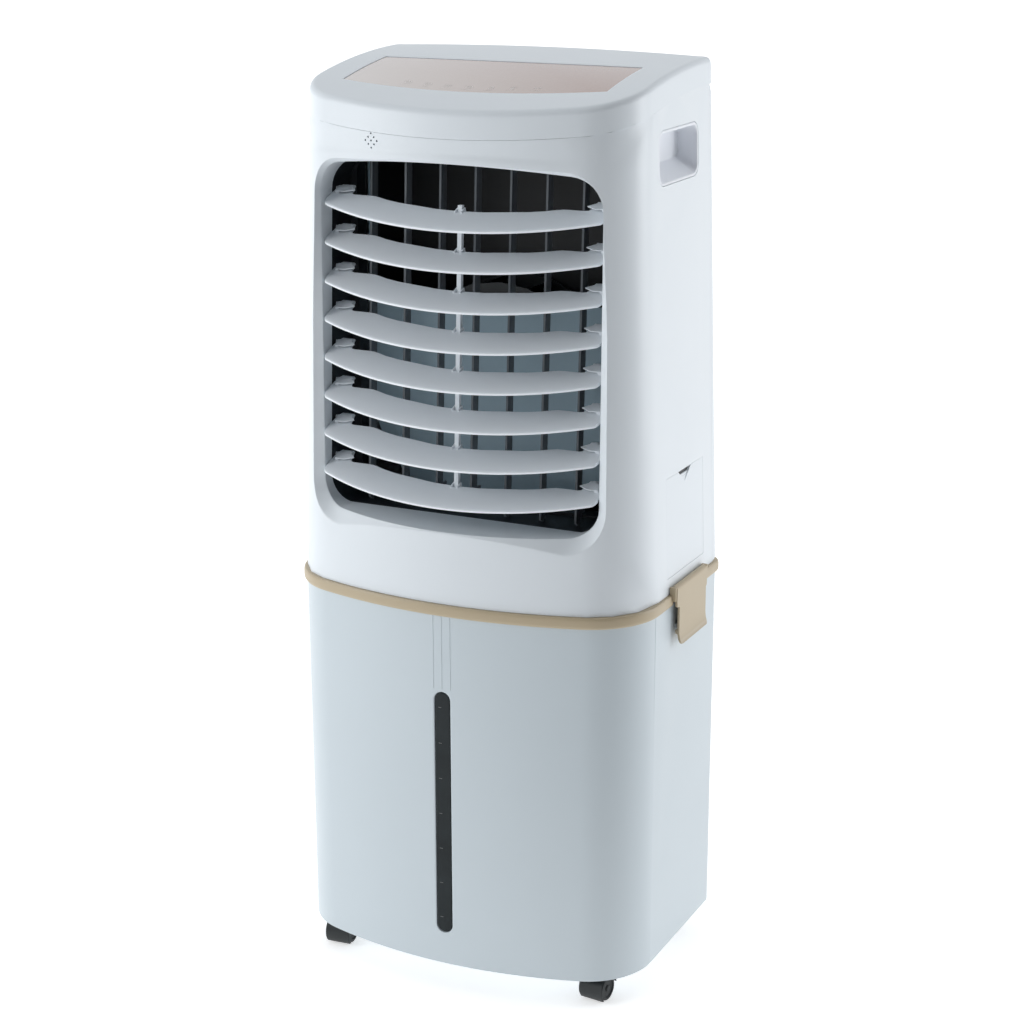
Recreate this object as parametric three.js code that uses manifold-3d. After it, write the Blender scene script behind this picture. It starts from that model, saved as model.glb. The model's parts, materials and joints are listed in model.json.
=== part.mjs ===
// Evaporative cooler on casters: a water tank below, a lift-off blower head above.
// Millimetres, +Z up, +X to the right of someone facing the air outlet, -Y towards them.
// The origin is on the floor, under the middle of the bounding box.
import * as THREE from 'three';
import { mergeVertices } from 'three/addons/utils/BufferGeometryUtils.js';
import Module from 'manifold-3d';

const wasm = await Module();
wasm.setup();

// ---------------------------------------------------------------- driving dimensions
const GAP = 0.3; // clearance between pieces that touch
const WALL = 3; // moulded wall thickness

// Body outline at three heights: half width, front centre and flat back.
const FOOT = { z: 34, half: 225.5, front: -148.0, back: 164.3 };
const WAIST = { z: 487, half: 227.2, front: -149.3, back: 160 };
const CROWN = { z: 1100, half: 208.5, front: -140.9, back: 154.3 };
const BOW_RADIUS = 552; // plan radius of the bowed front
const FRONT_CORNER = 84; // plan radius of the front corners
const BACK_CORNER = 14;
const BOW_STEPS = 8;
const CORNER_STEPS = 5;
const BACK_STEPS = 3;

const TANK_RIM = 479.7;
const TANK_FLOOR = 48; // underside of the tank floor, inside the skirt
const TANK_SEAM_Y = -45.25; // front cover meets the tank here
const TANK_FACE_Y = -122; // flat front wall of the tank, behind the cover
const BELT = { bottom: 480, top: 494, proud: 4, inside: 8 };
const HEAD_FOOT = 494.3;
const HEAD_SEAM_Y = 138; // front shell meets the rear shell here
const CROWN_CURVE = 0.000537; // fall of the top, per mm squared, forward of the back edge
const TOP = { z: 1103.4, crest: 142.3, dome: 4.5, domeFrom: -61, half: 208.5 }; // highest line: along the back edge
const COVER_DEPTH = 30.4; // height of the top cover's skirt
const CROWN_LOW = 990; // a level under the top cover's skirt
const SKY = 1120; // a level above everything
const EVERYWHERE = 600; // reaches past the object on every side
const CENTRE_Y = -5.5; // brings the middle of the overall depth to the origin

const OUTLET = { half: 177.6, low: 580.8, high: 1002.5, corner: 32, middle: 790, seamY: -79.5 };
const ARCH = { high: 0.00045, low: 0.00012 }; // bow of the outlet's top and bottom edge, per mm squared
const RIM = { radius: 373, behind: 1, flare: 30, flareDeep: 19.4, rearDeep: 2.5 };
const LEAN = 0.0477; // the outlet's inside leans back by this much per mm of height
const LOUVRES = 8;
const LOUVRE = {
  pitch: 45.33, topZ: 928.6, topY: -131.5, stepY: 2.214, tilt: 20, thick: 2.2,
  nose: -3.5, radius: 385, tip: 176, pivot: 76, pin: 44.5,
};
const LOUVRE_BACK = [ // rear edge of a louvre: distance from the middle, depth from its front edge
  [176, 72], [173, 84], [155, 84], [151, 65], [147, 62.5], [118, 61.5], [100, 55.5], [82, 51], [62, 48],
  [30, 43], [0, 42],
];
const VANES = 7;
const VANE = { pitch: 45, pivotY: -54, chord: 14, thick: 2.6, gap: 3, linkZ: -186 };
const DUCT = { plateY: -25, backY: -5, wall: 3 };
const NECK = { half: 168, z: 787.5, high: 202, corner: 20 }; // the duct's narrower rear part

const BLOWER = { z: 710, half: 168, low: 547, high: 990, frontY: -2, backY: 88, lipZ: 828, eye: 110 };
const WHEEL = { radius: 135, eyeRadius: 112, frontY: 10, backY: 80, blades: 14 };
const PAD = { half: 162, frontY: 114, backY: 138, low: 540, high: 985.7 };
const GRILLE = { z: 765, half: 168, high: 232, corner: 12, frontY: 148, backY: 154.5, slats: 12 };

const HANDLE = { y: 39.7, z: 1004, half: 61.5, high: 31.3, corner: 15, depth: 31 };
const DOOR = { y0: -10.6, y1: 107.6, z0: 514, z1: 634.6, pivotZ: 517, notch: 20, notchZ: 620 };
const LATCH = { y0: -1, y1: 97, pivotX: 231.6, pivotZ: 499.5, hookZ: 445.7, shoulderZ: 478 };
const PANEL = { half: 165, back: 42.75, front: -61.25, bow: 23 };
const WINDOW = { half: 10.5, low: 75, high: 385, faceY: -147.6 };
const CASTER = { x: 175, frontY: -100, backY: 122, radius: 15, trail: 12, half: 15, slot: 4 };
const CATCH = { x: 228.3, y0: 16, y1: 80, z0: 446, z1: 452 }; // ribs that the latches hook under
const DRAIN = { x: 145, z: 84, y: 137 };

// ---------------------------------------------------------------- finishes
const finish = (color, roughness, metalness = 0) => ({ color, roughness, metalness });
const WHITE = finish(0xe3eaf0, 0.32);
const COVER_WHITE = finish(0xd9e1e6, 0.3);
const LIGHT_GREY = finish(0xc9ccd0, 0.38);
const TAN = finish(0xb9ac97, 0.42);
const ROSE_GLASS = finish(0xb8a49a, 0.14, 0.25);
const LOUVRE_GREY = finish(0xc3ced3, 0.4);
const DARK_PLASTIC = finish(0x252c31, 0.5);
const DUCT_GREY = finish(0x59676e, 0.5);
const BLACK = finish(0x1d2023, 0.55);
const SMOKE = finish(0x323a3c, 0.12);
const TYRE_BLACK = finish(0x2b2e30, 0.7);
const STEEL = finish(0xaeb2b5, 0.3, 0.9);
const PAPER = finish(0x9c8a5e, 0.9);
const BOARD_GREEN = finish(0x2f5a3c, 0.5);
const RUBBER = finish(0x3a3d3f, 0.8);

// ---------------------------------------------------------------- solids
// A closed three.js geometry as a solid that can be joined and cut.
function solid(geometry) {
  const bare = geometry.clone();
  bare.deleteAttribute('normal');
  bare.deleteAttribute('uv');
  const merged = mergeVertices(bare, 1e-4);
  const index = merged.index.array;
  const kept = [];
  for (let i = 0; i < index.length; i += 3) {
    const [a, b, c] = [index[i], index[i + 1], index[i + 2]];
    if (a !== b && b !== c && c !== a) kept.push(a, b, c);
  }
  const vertProperties = new Float32Array(merged.attributes.position.array);
  return new wasm.Manifold(new wasm.Mesh({ numProp: 3, vertProperties, triVerts: new Uint32Array(kept) }));
}

function geometryOf(body) {
  const mesh = body.getMesh();
  const geometry = new THREE.BufferGeometry();
  geometry.setAttribute('position', new THREE.BufferAttribute(new Float32Array(mesh.vertProperties), 3));
  geometry.setIndex(new THREE.BufferAttribute(new Uint32Array(mesh.triVerts), 1));
  geometry.computeVertexNormals();
  return geometry;
}

const join = (...bodies) => bodies.reduce((sum, body) => sum.add(body));
const lerp = THREE.MathUtils.lerp;
const radians = THREE.MathUtils.degToRad;
const range = (count) => Array.from({ length: count }, (_, i) => i);

function box(x0, x1, y0, y1, z0, z1) {
  const geometry = new THREE.BoxGeometry(Math.abs(x1 - x0), Math.abs(y1 - y0), Math.abs(z1 - z0));
  return solid(geometry.translate((x0 + x1) / 2, (y0 + y1) / 2, (z0 + z1) / 2));
}

// A round bar of radius r along one axis, between two places on that axis.
function rod(axis, r, from, to, [a, b], sides = 16) {
  const geometry = new THREE.CylinderGeometry(r, r, Math.abs(to - from), sides);
  const middle = (from + to) / 2;
  if (axis === 'x') geometry.rotateZ(Math.PI / 2).translate(middle, a, b);
  if (axis === 'y') geometry.translate(a, middle, b);
  if (axis === 'z') geometry.rotateX(Math.PI / 2).translate(a, b, middle);
  return solid(geometry);
}

const extrude = (points, depth) =>
  new THREE.ExtrudeGeometry(new THREE.Shape(points), { depth, bevelEnabled: false });

// Prisms of an outline: in plan along Z, in front view (x, z) along Y, in side view (y, z) along X.
const prismZ = (points, z0, z1) => solid(extrude(points, z1 - z0).translate(0, 0, z0));
const prismY = (points, y0, y1) => solid(extrude(points, y1 - y0).rotateX(Math.PI / 2).translate(0, y1, 0));
function prismX(points, xa, xb) {
  const geometry = extrude(points, Math.abs(xb - xa));
  const turn = new THREE.Matrix4().makeBasis(
    new THREE.Vector3(0, 1, 0), new THREE.Vector3(0, 0, 1), new THREE.Vector3(1, 0, 0));
  return solid(geometry.applyMatrix4(turn).translate(Math.min(xa, xb), 0, 0));
}

// Points of an arc, angles in degrees.
function arc(cx, cy, r, from, to, steps) {
  return range(steps + 1).map((i) => {
    const angle = radians(lerp(from, to, i / steps));
    return new THREE.Vector2(cx + r * Math.cos(angle), cy + r * Math.sin(angle));
  });
}

function roundRect(cx, cy, half, high, r, steps = 4) {
  return [
    ...arc(cx + half - r, cy + high - r, r, 0, 90, steps),
    ...arc(cx - half + r, cy + high - r, r, 90, 180, steps),
    ...arc(cx - half + r, cy - high + r, r, 180, 270, steps),
    ...arc(cx + half - r, cy - high + r, r, 270, 360, steps),
  ];
}

// ---------------------------------------------------------------- the body's outline
// Plan outline at the waist, moved inwards by `inset`.
function outline(inset) {
  const half = WAIST.half - inset;
  const bow = BOW_RADIUS - inset;
  const corner = FRONT_CORNER - inset;
  const back = WAIST.back - inset;
  const backCorner = Math.max(BACK_CORNER - inset, 2);
  const bowCentre = WAIST.front + BOW_RADIUS;
  const swing = THREE.MathUtils.radToDeg(Math.asin((half - corner) / (bow - corner)));
  const cornerX = half - corner;
  const cornerY = bowCentre - (bow - corner) * Math.cos(radians(swing));
  return [
    ...arc(0, bowCentre, bow, 270 - swing, 270 + swing, BOW_STEPS),
    ...arc(cornerX, cornerY, corner, 270 + swing, 360, CORNER_STEPS).slice(1),
    ...arc(half - backCorner, back - backCorner, backCorner, 0, 90, BACK_STEPS),
    ...arc(-half + backCorner, back - backCorner, backCorner, 90, 180, BACK_STEPS),
    ...arc(-cornerX, cornerY, corner, 180, 270 - swing, CORNER_STEPS).slice(0, -1),
  ];
}

// One of the outline's measures at height z.
function measure(name, z) {
  const [low, high] = z < WAIST.z ? [FOOT, WAIST] : [WAIST, CROWN];
  return lerp(low[name], high[name], (z - low.z) / (high.z - low.z));
}

// The body's solid between two heights on one side of the waist, tapering as the body does.
function body(inset, z0, z1) {
  const geometry = extrude(outline(inset), z1 - z0).translate(0, 0, z0);
  const place = geometry.attributes.position;
  const depth = WAIST.back - WAIST.front;
  for (let i = 0; i < place.count; i += 1) {
    const z = place.getZ(i);
    const front = measure('front', z);
    place.setX(i, (place.getX(i) * measure('half', z)) / WAIST.half);
    place.setY(i, front + ((place.getY(i) - WAIST.front) * (measure('back', z) - front)) / depth);
  }
  return solid(geometry);
}

// Height of the top surface: it falls towards the front, and is domed across its rear half.
function topZ(x, y) {
  const rear = THREE.MathUtils.clamp((y - TOP.domeFrom) / (TOP.crest - TOP.domeFrom), 0, 1);
  const across = Math.max(1 - (x / TOP.half) ** 2, 0);
  return TOP.z - CROWN_CURVE * (TOP.crest - Math.min(y, TOP.crest)) ** 2 + TOP.dome * across * rear ** 3;
}

// A closed solid through rings that have the same number of points.
function loft(rings, flatten) {
  const count = rings[0].length;
  const cap = THREE.ShapeUtils.triangulateShape(rings[0].map(flatten), []);
  const last = (rings.length - 1) * count;
  const index = cap.flatMap(([a, b, c]) => [a, b, c, last + a, last + c, last + b]);
  for (const ring of range(rings.length - 1)) {
    for (const i of range(count)) {
      const [a, b] = [ring * count + i, ring * count + ((i + 1) % count)];
      const [c, d] = [b + count, a + count];
      index.push(a, c, b, a, d, c);
    }
  }
  const geometry = new THREE.BufferGeometry();
  const places = rings.flat().flatMap(({ x, y, z }) => [x, y, z]);
  geometry.setAttribute('position', new THREE.BufferAttribute(new Float32Array(places), 3));
  geometry.setIndex(index);
  return solid(geometry);
}

// Everything under the curved top, lowered by `drop`.
function underTop(drop) {
  const [front, back, low, beyond] = [-170, TOP.crest, 400, 200];
  const curve = range(13).map((i) => lerp(back, front, i / 12));
  const across = range(9).map((i) => lerp(TOP.half, -TOP.half, i / 8));
  const stations = [EVERYWHERE, ...across, -EVERYWHERE];
  const ring = (x) => [
    { x, y: front, z: low },
    { x, y: beyond, z: low },
    { x, y: beyond, z: topZ(x, beyond) - drop },
    ...curve.map((y) => ({ x, y, z: topZ(x, y) - drop })),
  ];
  return loft(stations.map(ring), ({ y, z }) => new THREE.Vector2(y, z));
}

const inFrontOf = (y) => box(-EVERYWHERE, EVERYWHERE, -EVERYWHERE, y, -10, SKY + 10);
const behind = (y) => box(-EVERYWHERE, EVERYWHERE, y, EVERYWHERE, -10, SKY + 10);

// ---------------------------------------------------------------- the assembly
const cooler = new THREE.Group();
cooler.position.y = CENTRE_Y;

function add(name, shape, look, parent = cooler) {
  const material = new THREE.MeshStandardMaterial(look);
  const mesh = new THREE.Mesh(geometryOf(shape), material);
  mesh.name = name;
  parent.add(mesh);
  return mesh;
}

const sides = [['right', 1], ['left', -1]];
const casters = [
  ['front_right', CASTER.x, CASTER.frontY, -8],
  ['front_left', -CASTER.x, CASTER.frontY, 4],
  ['back_right', CASTER.x, CASTER.backY, 170],
  ['back_left', -CASTER.x, CASTER.backY, -165],
];

// ---------------------------------------------------------------- tank
const FLOOR_TOP = TANK_FLOOR + 4;
const INNER_FACE_Y = TANK_FACE_Y + 3.5;

function tankBody() {
  const rear = body(0, FOOT.z, TANK_RIM).intersect(behind(TANK_SEAM_Y + GAP / 2));
  const slab = box(-300, 300, TANK_FACE_Y, TANK_SEAM_Y + 6, 0, 600);
  const nose = body(5, TANK_FLOOR, TANK_RIM).intersect(slab);
  const wellRear = body(3.5, FLOOR_TOP, WAIST.z).intersect(behind(TANK_SEAM_Y + 4));
  const wellFront = body(8.5, FLOOR_TOP, WAIST.z).intersect(behind(INNER_FACE_Y));
  let tank = join(rear, nose).subtract(wellRear).subtract(wellFront);
  tank = tank.subtract(body(3.5, FOOT.z - 5, TANK_FLOOR));
  for (const [, x, y] of casters) {
    tank = tank.add(rod('z', 10, TANK_FLOOR, 74, [x, y], 10));
    tank = tank.subtract(rod('z', 4.6, TANK_FLOOR - 1, 70, [x, y], 8));
  }
  for (const [, side] of sides) {
    tank = tank.add(box(side * (CATCH.x - WALL), side * CATCH.x, CATCH.y0, CATCH.y1, CATCH.z0, CATCH.z1));
  }
  for (const z of [WINDOW.low + 12, WINDOW.high - 12]) {
    tank = tank.subtract(rod('y', 3, TANK_FACE_Y - 1, INNER_FACE_Y + 1, [0, z], 8));
  }
  // The drain sits in a pocket of the back wall, so that nothing stands proud of it.
  const { x, y, z } = DRAIN;
  tank = tank.add(box(x - 28, x + 28, y - 4, y + 25, FLOOR_TOP - 1, z + 30));
  tank = tank.subtract(box(x - 25, x + 25, y, y + 44, z - 25, z + 27));
  tank = tank.add(rod('y', 13, y - 1, y + 8, [x, z], 20));
  return tank.subtract(rod('y', 9, y - 5, y + 9, [x, z], 20));
}

function tankFrontCover() {
  const shell = body(0, FOOT.z, TANK_RIM).subtract(body(WALL, FOOT.z - 2, WAIST.z));
  const middle = (WINDOW.low + WINDOW.high) / 2;
  const high = (WINDOW.high - WINDOW.low) / 2;
  const slot = prismY(roundRect(0, middle, WINDOW.half, high, WINDOW.half - 0.01, 4), -170, -130);
  return shell.intersect(inFrontOf(TANK_SEAM_Y - GAP / 2)).subtract(slot);
}

// A sight glass: a clear channel, open towards the tank, with the float inside.
function levelWindow() {
  const middle = (WINDOW.low + WINDOW.high) / 2;
  const pill = (inset) => {
    const high = (WINDOW.high - WINDOW.low) / 2 - inset;
    return roundRect(0, middle, WINDOW.half - inset, high, WINDOW.half - inset - 0.01, 4);
  };
  const lens = prismY(pill(0.4), WINDOW.faceY, WINDOW.faceY + 3);
  const channel = prismY(pill(0.8), WINDOW.faceY + 1, TANK_FACE_Y - GAP);
  return join(lens, channel).subtract(prismY(pill(2.3), WINDOW.faceY + 3, TANK_FACE_Y + 1));
}

function levelFloat() {
  return prismY(roundRect(0, 104, 7, 15, 5, 3), WINDOW.faceY + 5, TANK_FACE_Y - 5);
}

function drainPlug() {
  const { x, y, z } = DRAIN;
  const stem = rod('y', 8.6, y - 2, y + 9, [x, z], 20);
  const cap = rod('y', 15, y + 8 + GAP, y + 16, [x, z], 20);
  return join(stem, cap, box(x - 2.5, x + 2.5, y + 15, y + 22, z - 13, z + 13));
}

add('tank_body', tankBody(), WHITE);
add('tank_front_cover', tankFrontCover(), COVER_WHITE);
add('level_window', levelWindow(), SMOKE);
add('level_float', levelFloat(), BLACK);
add('drain_plug', drainPlug(), BLACK);

// ---------------------------------------------------------------- casters
// Built about the swivel axis, with the axle behind it and a hood over the top and front of the
// wheels. The hood is low enough to turn under the tank's skirt.
function casterHood() {
  const { radius, trail, half, slot } = CASTER;
  const axle = [trail, radius];
  const covered = join(box(-40, 40, -40, 60, 19, 60), box(-40, 40, -40, 3, 5, 60));
  const hood = rod('x', radius + 3.2, -half - 1.5, half + 1.5, axle, 20)
    .subtract(rod('x', radius + 1.4, -half - 3, half + 3, axle, 20))
    .intersect(covered);
  const web = rod('x', radius + 2, -slot + 0.8, slot - 0.8, axle, 20)
    .intersect(box(-40, 40, -40, 60, 5, 60));
  const boss = rod('z', 7, 31, TANK_FLOOR - 0.5, [0, 0], 12)
    .subtract(rod('x', radius + 1.4, -40, 40, axle, 20));
  const stem = rod('z', 4, 40, 68, [0, 0], 8);
  return join(hood, web, boss, stem).subtract(rod('x', 3.4, -9, 9, axle, 8));
}

function casterWheels() {
  const axle = [CASTER.trail, CASTER.radius];
  const disc = (side) => rod('x', CASTER.radius, side * CASTER.slot, side * CASTER.half, axle, 20);
  return join(disc(1), disc(-1), rod('x', 3, -8, 8, axle, 8));
}

for (const [place, x, y, yaw] of casters) {
  const swivel = new THREE.Group();
  swivel.position.set(x, y, 0);
  swivel.rotation.z = radians(yaw);
  cooler.add(swivel);
  add(`caster_hood_${place}`, casterHood(), BLACK, swivel);
  add(`caster_wheels_${place}`, casterWheels(), TYRE_BLACK, swivel);
}

// ---------------------------------------------------------------- belt and latches
const EAR = 3.5; // thickness of the ears that hold a latch's pin

function beltTrim() {
  const ring = (inset) => prismZ(outline(inset), BELT.bottom, BELT.top);
  const hollow = prismZ(outline(BELT.inside), BELT.bottom - 1, BELT.top + 1);
  let belt = ring(-BELT.proud).subtract(hollow).subtract(behind(WAIST.back + GAP));
  for (const [, side] of sides) {
    const [inner, outer] = [side * 227.6, side * 240];
    belt = belt.subtract(box(inner, outer, LATCH.y0 - GAP, LATCH.y1 + GAP, 470, 500));
    for (const y of [LATCH.y0 - GAP - EAR, LATCH.y1 + GAP]) {
      belt = belt.add(box(side * 227.4, side * 235.4, y, y + EAR, 486, 503.4));
    }
    belt = belt.subtract(rod('y', 2, -10, 120, [side * LATCH.pivotX, LATCH.pivotZ], 12));
  }
  return belt;
}

// Section of the right latch: a barrel on its pin, a flat face, a flared lip and an inner hook.
function latch(side) {
  const { pivotX, pivotZ, hookZ, shoulderZ, y0, y1 } = LATCH;
  const point = (x, z) => new THREE.Vector2(side * x, z);
  const section = [
    point(233, pivotZ), point(233, hookZ), point(228.8, hookZ), point(229.6, hookZ - 4),
    point(233, hookZ - 6), point(233.4, 437), point(237, 430.5), point(240, 430.5), point(237, 438),
    point(236, 446), point(236, pivotZ),
  ];
  const barrel = rod('y', 4, y0, y1, [side * pivotX, pivotZ], 16);
  const upper = prismY(section, y0, y1).intersect(box(-300, 300, y0, y1, shoulderZ, 520));
  const lower = prismY(section, y0 + 8, y1 - 3);
  return join(upper, lower, barrel).subtract(rod('y', 2, y0 - 1, y1 + 1, [side * pivotX, pivotZ], 12));
}

add('belt_trim', beltTrim(), TAN);
for (const [place, side] of sides) {
  const pin = rod('y', 1.7, LATCH.y0 - 3, LATCH.y1 + 3, [side * LATCH.pivotX, LATCH.pivotZ], 12);
  add(`latch_${place}`, latch(side), TAN);
  add(`latch_pin_${place}`, pin, STEEL);
}

// ---------------------------------------------------------------- head: shells
const HOSE = { x: -192, y: 125, r: 5.5 };
const GLAND = { x: -150, z: 512, r: 5.6, hole: 6 };
const wallX = (z) => measure('half', z); // outer face of the side wall at height z

// The outlet in front view, with bowed top and bottom edges, moved outwards by `grow`.
const archAt = (x, upper) => (upper ? -ARCH.high : ARCH.low) * x ** 2;
function outletShape(grow) {
  const middle = (OUTLET.low + OUTLET.high) / 2;
  const [half, high] = [OUTLET.half + grow, (OUTLET.high - OUTLET.low) / 2 + grow];
  const corner = OUTLET.corner + grow;
  const straight = half - corner;
  const across = [0.66, 0.33, 0, -0.33, -0.66];
  const edge = (z, side) => across.map((t) => new THREE.Vector2(side * t * straight, z));
  const points = [
    ...arc(straight, middle + high - corner, corner, 0, 90, 5),
    ...edge(middle + high, 1),
    ...arc(-straight, middle + high - corner, corner, 90, 180, 5),
    ...arc(-straight, middle - high + corner, corner, 180, 270, 5),
    ...edge(middle - high, -1),
    ...arc(straight, middle - high + corner, corner, 270, 360, 5),
  ];
  return points.map(({ x, y: z }) => new THREE.Vector2(x, z + archAt(x, z > middle)));
}

const leanY = (y, z) => y + (z - OUTLET.middle) * LEAN; // depth at height z of a plane that leans back
const rimY = (x, z) => measure('front', z) + RIM.behind + RIM.radius - Math.sqrt(RIM.radius ** 2 - x ** 2);

// The room inside the outlet: flared to the skin at the front, straight from the rim to the leaning seam.
function outletRoom(grow, rearwards, backY) {
  const ring = (more, depth) => outletShape(grow + more).map(({ x, y: z }) => ({ x, y: depth(x, z), z }));
  return loft([
    ring(RIM.flare, () => -220),
    ring(RIM.flare, (x, z) => rimY(Math.min(Math.abs(x), OUTLET.half), z) + rearwards - RIM.flareDeep),
    ring(0, (x, z) => rimY(Math.min(Math.abs(x), OUTLET.half), z) + rearwards),
    ring(0, (x, z) => leanY(backY, z)),
  ], ({ x, z }) => new THREE.Vector2(x, z));
}

function headShell() {
  const outer = body(0, HEAD_FOOT, SKY).intersect(underTop(COVER_DEPTH + GAP));
  return outer.subtract(body(WALL, HEAD_FOOT - 2, SKY));
}

function buzzerHoles() {
  const [x, z, step, r] = [-90, 1022.3, 4, 1.2];
  const holes = [];
  for (const row of [-2, -1, 0, 1, 2]) {
    const count = 3 - Math.abs(row);
    for (const i of range(count)) {
      const across = (i - (count - 1) / 2) * 2 * step;
      holes.push(rod('y', r, -160, -120, [x + across, z + row * step], 6));
    }
  }
  return join(...holes);
}

function frontShell() {
  const whole = body(0, HEAD_FOOT, SKY);
  const reveal = outletRoom(WALL, RIM.rearDeep, OUTLET.seamY).intersect(whole);
  let shell = join(headShell().intersect(inFrontOf(HEAD_SEAM_Y)), reveal);
  shell = shell.subtract(outletRoom(0, 0, OUTLET.seamY + 2)).subtract(buzzerHoles());
  for (const [, side] of sides) {
    const hole = roundRect(HANDLE.y, HANDLE.z, HANDLE.half, HANDLE.high, HANDLE.corner);
    shell = shell.subtract(prismX(hole, side * 190, side * 240));
  }
  const { y0, y1, z0, z1, pivotZ } = DOOR;
  shell = shell.subtract(box(200, 240, y0 - 0.4, y1 + 0.4, z0 - 0.7, z1 + 0.4));
  return shell.subtract(rod('y', 1.3, y0 - 3, y1 + 3, [wallX(pivotZ) - WALL / 2, pivotZ], 8));
}

function rearShell() {
  const { z, half, high, corner, frontY } = GRILLE;
  const inset = (grow) => roundRect(0, z, half + grow, high + grow, corner + grow);
  const lip = prismY(inset(WALL), frontY - 7, frontY + 6).intersect(body(1, HEAD_FOOT, SKY));
  const shell = headShell().intersect(behind(HEAD_SEAM_Y + GAP));
  const inlet = rod('y', GLAND.hole, frontY - 5, frontY + 30, [GLAND.x, GLAND.z], 12);
  return join(shell, lip).subtract(prismY(inset(0), frontY - 15, frontY + 25)).subtract(inlet);
}

const panelShape = (grow) => {
  const half = PANEL.half + grow;
  const corner = PANEL.front - grow;
  const radius = (half ** 2 + PANEL.bow ** 2) / (2 * PANEL.bow);
  const swing = THREE.MathUtils.radToDeg(Math.asin(half / radius));
  const centre = corner - PANEL.bow + radius;
  return [
    new THREE.Vector2(half, PANEL.back + grow), new THREE.Vector2(-half, PANEL.back + grow),
    ...arc(0, centre, radius, 270 - swing, 270 + swing, 10),
  ];
};

const PANEL_SEAT = 3.3; // depth of the pocket that the control panel lies in

function topCover() {
  const skin = body(0, CROWN_LOW, SKY).intersect(underTop(0)).subtract(underTop(COVER_DEPTH));
  const seat = prismZ(panelShape(4), CROWN_LOW, SKY).subtract(underTop(PANEL_SEAT + WALL));
  const cavity = body(WALL, CROWN_LOW, SKY).intersect(underTop(WALL)).subtract(seat);
  const pocket = prismZ(panelShape(0), CROWN_LOW, SKY).subtract(underTop(PANEL_SEAT));
  return skin.subtract(cavity).subtract(pocket);
}

function controlPanel() {
  const plate = prismZ(panelShape(-0.4), CROWN_LOW, SKY).intersect(underTop(0.8));
  return plate.subtract(underTop(PANEL_SEAT - GAP));
}

function controlBoard() {
  const [half, y0, y1, z] = [110, -50, 10, 1056];
  let board = box(-half, half, y0, y1, z, z + 2);
  for (const x of [-half + 6, half - 6]) {
    for (const y of [y0 + 6, y1 - 6]) board = board.add(rod('z', 3, z + 1, 1100, [x, y], 8));
  }
  board = board.add(box(-30, 30, -30, 0, z, z + 10));
  return board.intersect(underTop(PANEL_SEAT + WALL + GAP));
}

function handleCup(side) {
  const ring = (inset) =>
    roundRect(HANDLE.y, HANDLE.z, HANDLE.half - inset, HANDLE.high - inset, HANDLE.corner - inset);
  const mouth = wallX(HANDLE.z);
  const back = mouth - HANDLE.depth;
  const block = prismX(ring(0.4), side * (back - WALL), side * (mouth + 5))
    .intersect(body(0.3, HEAD_FOOT, SKY));
  const hollow = prismX(ring(3.4), side * back, side * (mouth + 20));
  const point = (x, z) => new THREE.Vector2(side * x, z);
  const low = HANDLE.z - HANDLE.high + 2;
  const ramp = [point(back - 1, low), point(mouth - 3, low), point(back - 1, HANDLE.z - 2)];
  const slope = prismY(ramp, HANDLE.y - HANDLE.half + 2, HANDLE.y + HANDLE.half - 2);
  return block.subtract(hollow.subtract(slope));
}

add('front_shell', frontShell(), WHITE);
add('rear_shell', rearShell(), WHITE);
add('top_cover', topCover(), WHITE);
add('control_panel', controlPanel(), ROSE_GLASS);
add('control_board', controlBoard(), BOARD_GREEN);
for (const [place, side] of sides) add(`handle_cup_${place}`, handleCup(side), LIGHT_GREY);
add('buzzer', rod('y', 9, -128.5, -121, [-90, 1023], 16), BLACK);

// ---------------------------------------------------------------- head: base pan and filling
function basePan() {
  const floor = HEAD_FOOT;
  let pan = body(WALL + 0.4, floor, floor + 3);
  pan = pan.subtract(box(190, 212, 5, 92, floor - 1, floor + 4));
  pan = pan.subtract(rod('z', HOSE.r + 3, floor - 1, floor + 4, [HOSE.x, HOSE.y], 12));
  for (const i of range(6)) {
    const x = lerp(-130, 130, i / 5);
    pan = pan.subtract(box(x - 18, x + 18, PAD.frontY + 7, PAD.frontY + 17, floor - 1, floor + 4));
  }
  return pan;
}

// A hopper behind the fill door that drops the water through the base pan.
function fillChute() {
  const [floor, outer] = [HEAD_FOOT + 3 + GAP, wallX(DOOR.z1) - WALL - 0.6];
  const shell = box(186, outer, DOOR.y0 + 2, DOOR.y1 - 2, floor, DOOR.z1 + 2);
  const hollow = box(189, outer + 9, DOOR.y0 + 5, DOOR.y1 - 5, floor + 3, DOOR.z1 - 1);
  return shell.subtract(hollow).subtract(box(193, 209, 8, 89, floor - 1, floor + 4));
}

function fillDoor() {
  const { y0, y1, z0, z1, pivotZ, notch, notchZ } = DOOR;
  const middle = (y0 + y1) / 2;
  const skin = body(0, HEAD_FOOT, SKY).subtract(body(WALL, HEAD_FOOT - 1, SKY));
  const leaf = skin.intersect(box(200, 240, y0, y1, z0, z1));
  const scoop = [
    new THREE.Vector2(middle, notchZ), new THREE.Vector2(middle + notch, z1 + 1),
    new THREE.Vector2(middle - notch, z1 + 1),
  ];
  const pins = rod('y', 1, y0 - 2, y1 + 2, [wallX(pivotZ) - WALL / 2, pivotZ], 8);
  return join(leaf.subtract(prismX(scoop, 200, 240)), pins);
}

add('base_pan', basePan(), LIGHT_GREY);
add('fill_chute', fillChute(), LIGHT_GREY);
add('fill_door', fillDoor(), WHITE);

// ---------------------------------------------------------------- head: outlet
const louvreZ = (i) => LOUVRE.topZ - i * LOUVRE.pitch; // front edge of louvre i
const louvreY = (i) => LOUVRE.topY - i * LOUVRE.stepY;
const tilt = radians(LOUVRE.tilt);
const onBlade = (i, v) => [louvreY(i) + v * Math.cos(tilt), louvreZ(i) + v * Math.sin(tilt)]; // y and z
const vaneX = (i) => (i - (VANES - 1) / 2) * VANE.pitch;

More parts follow.
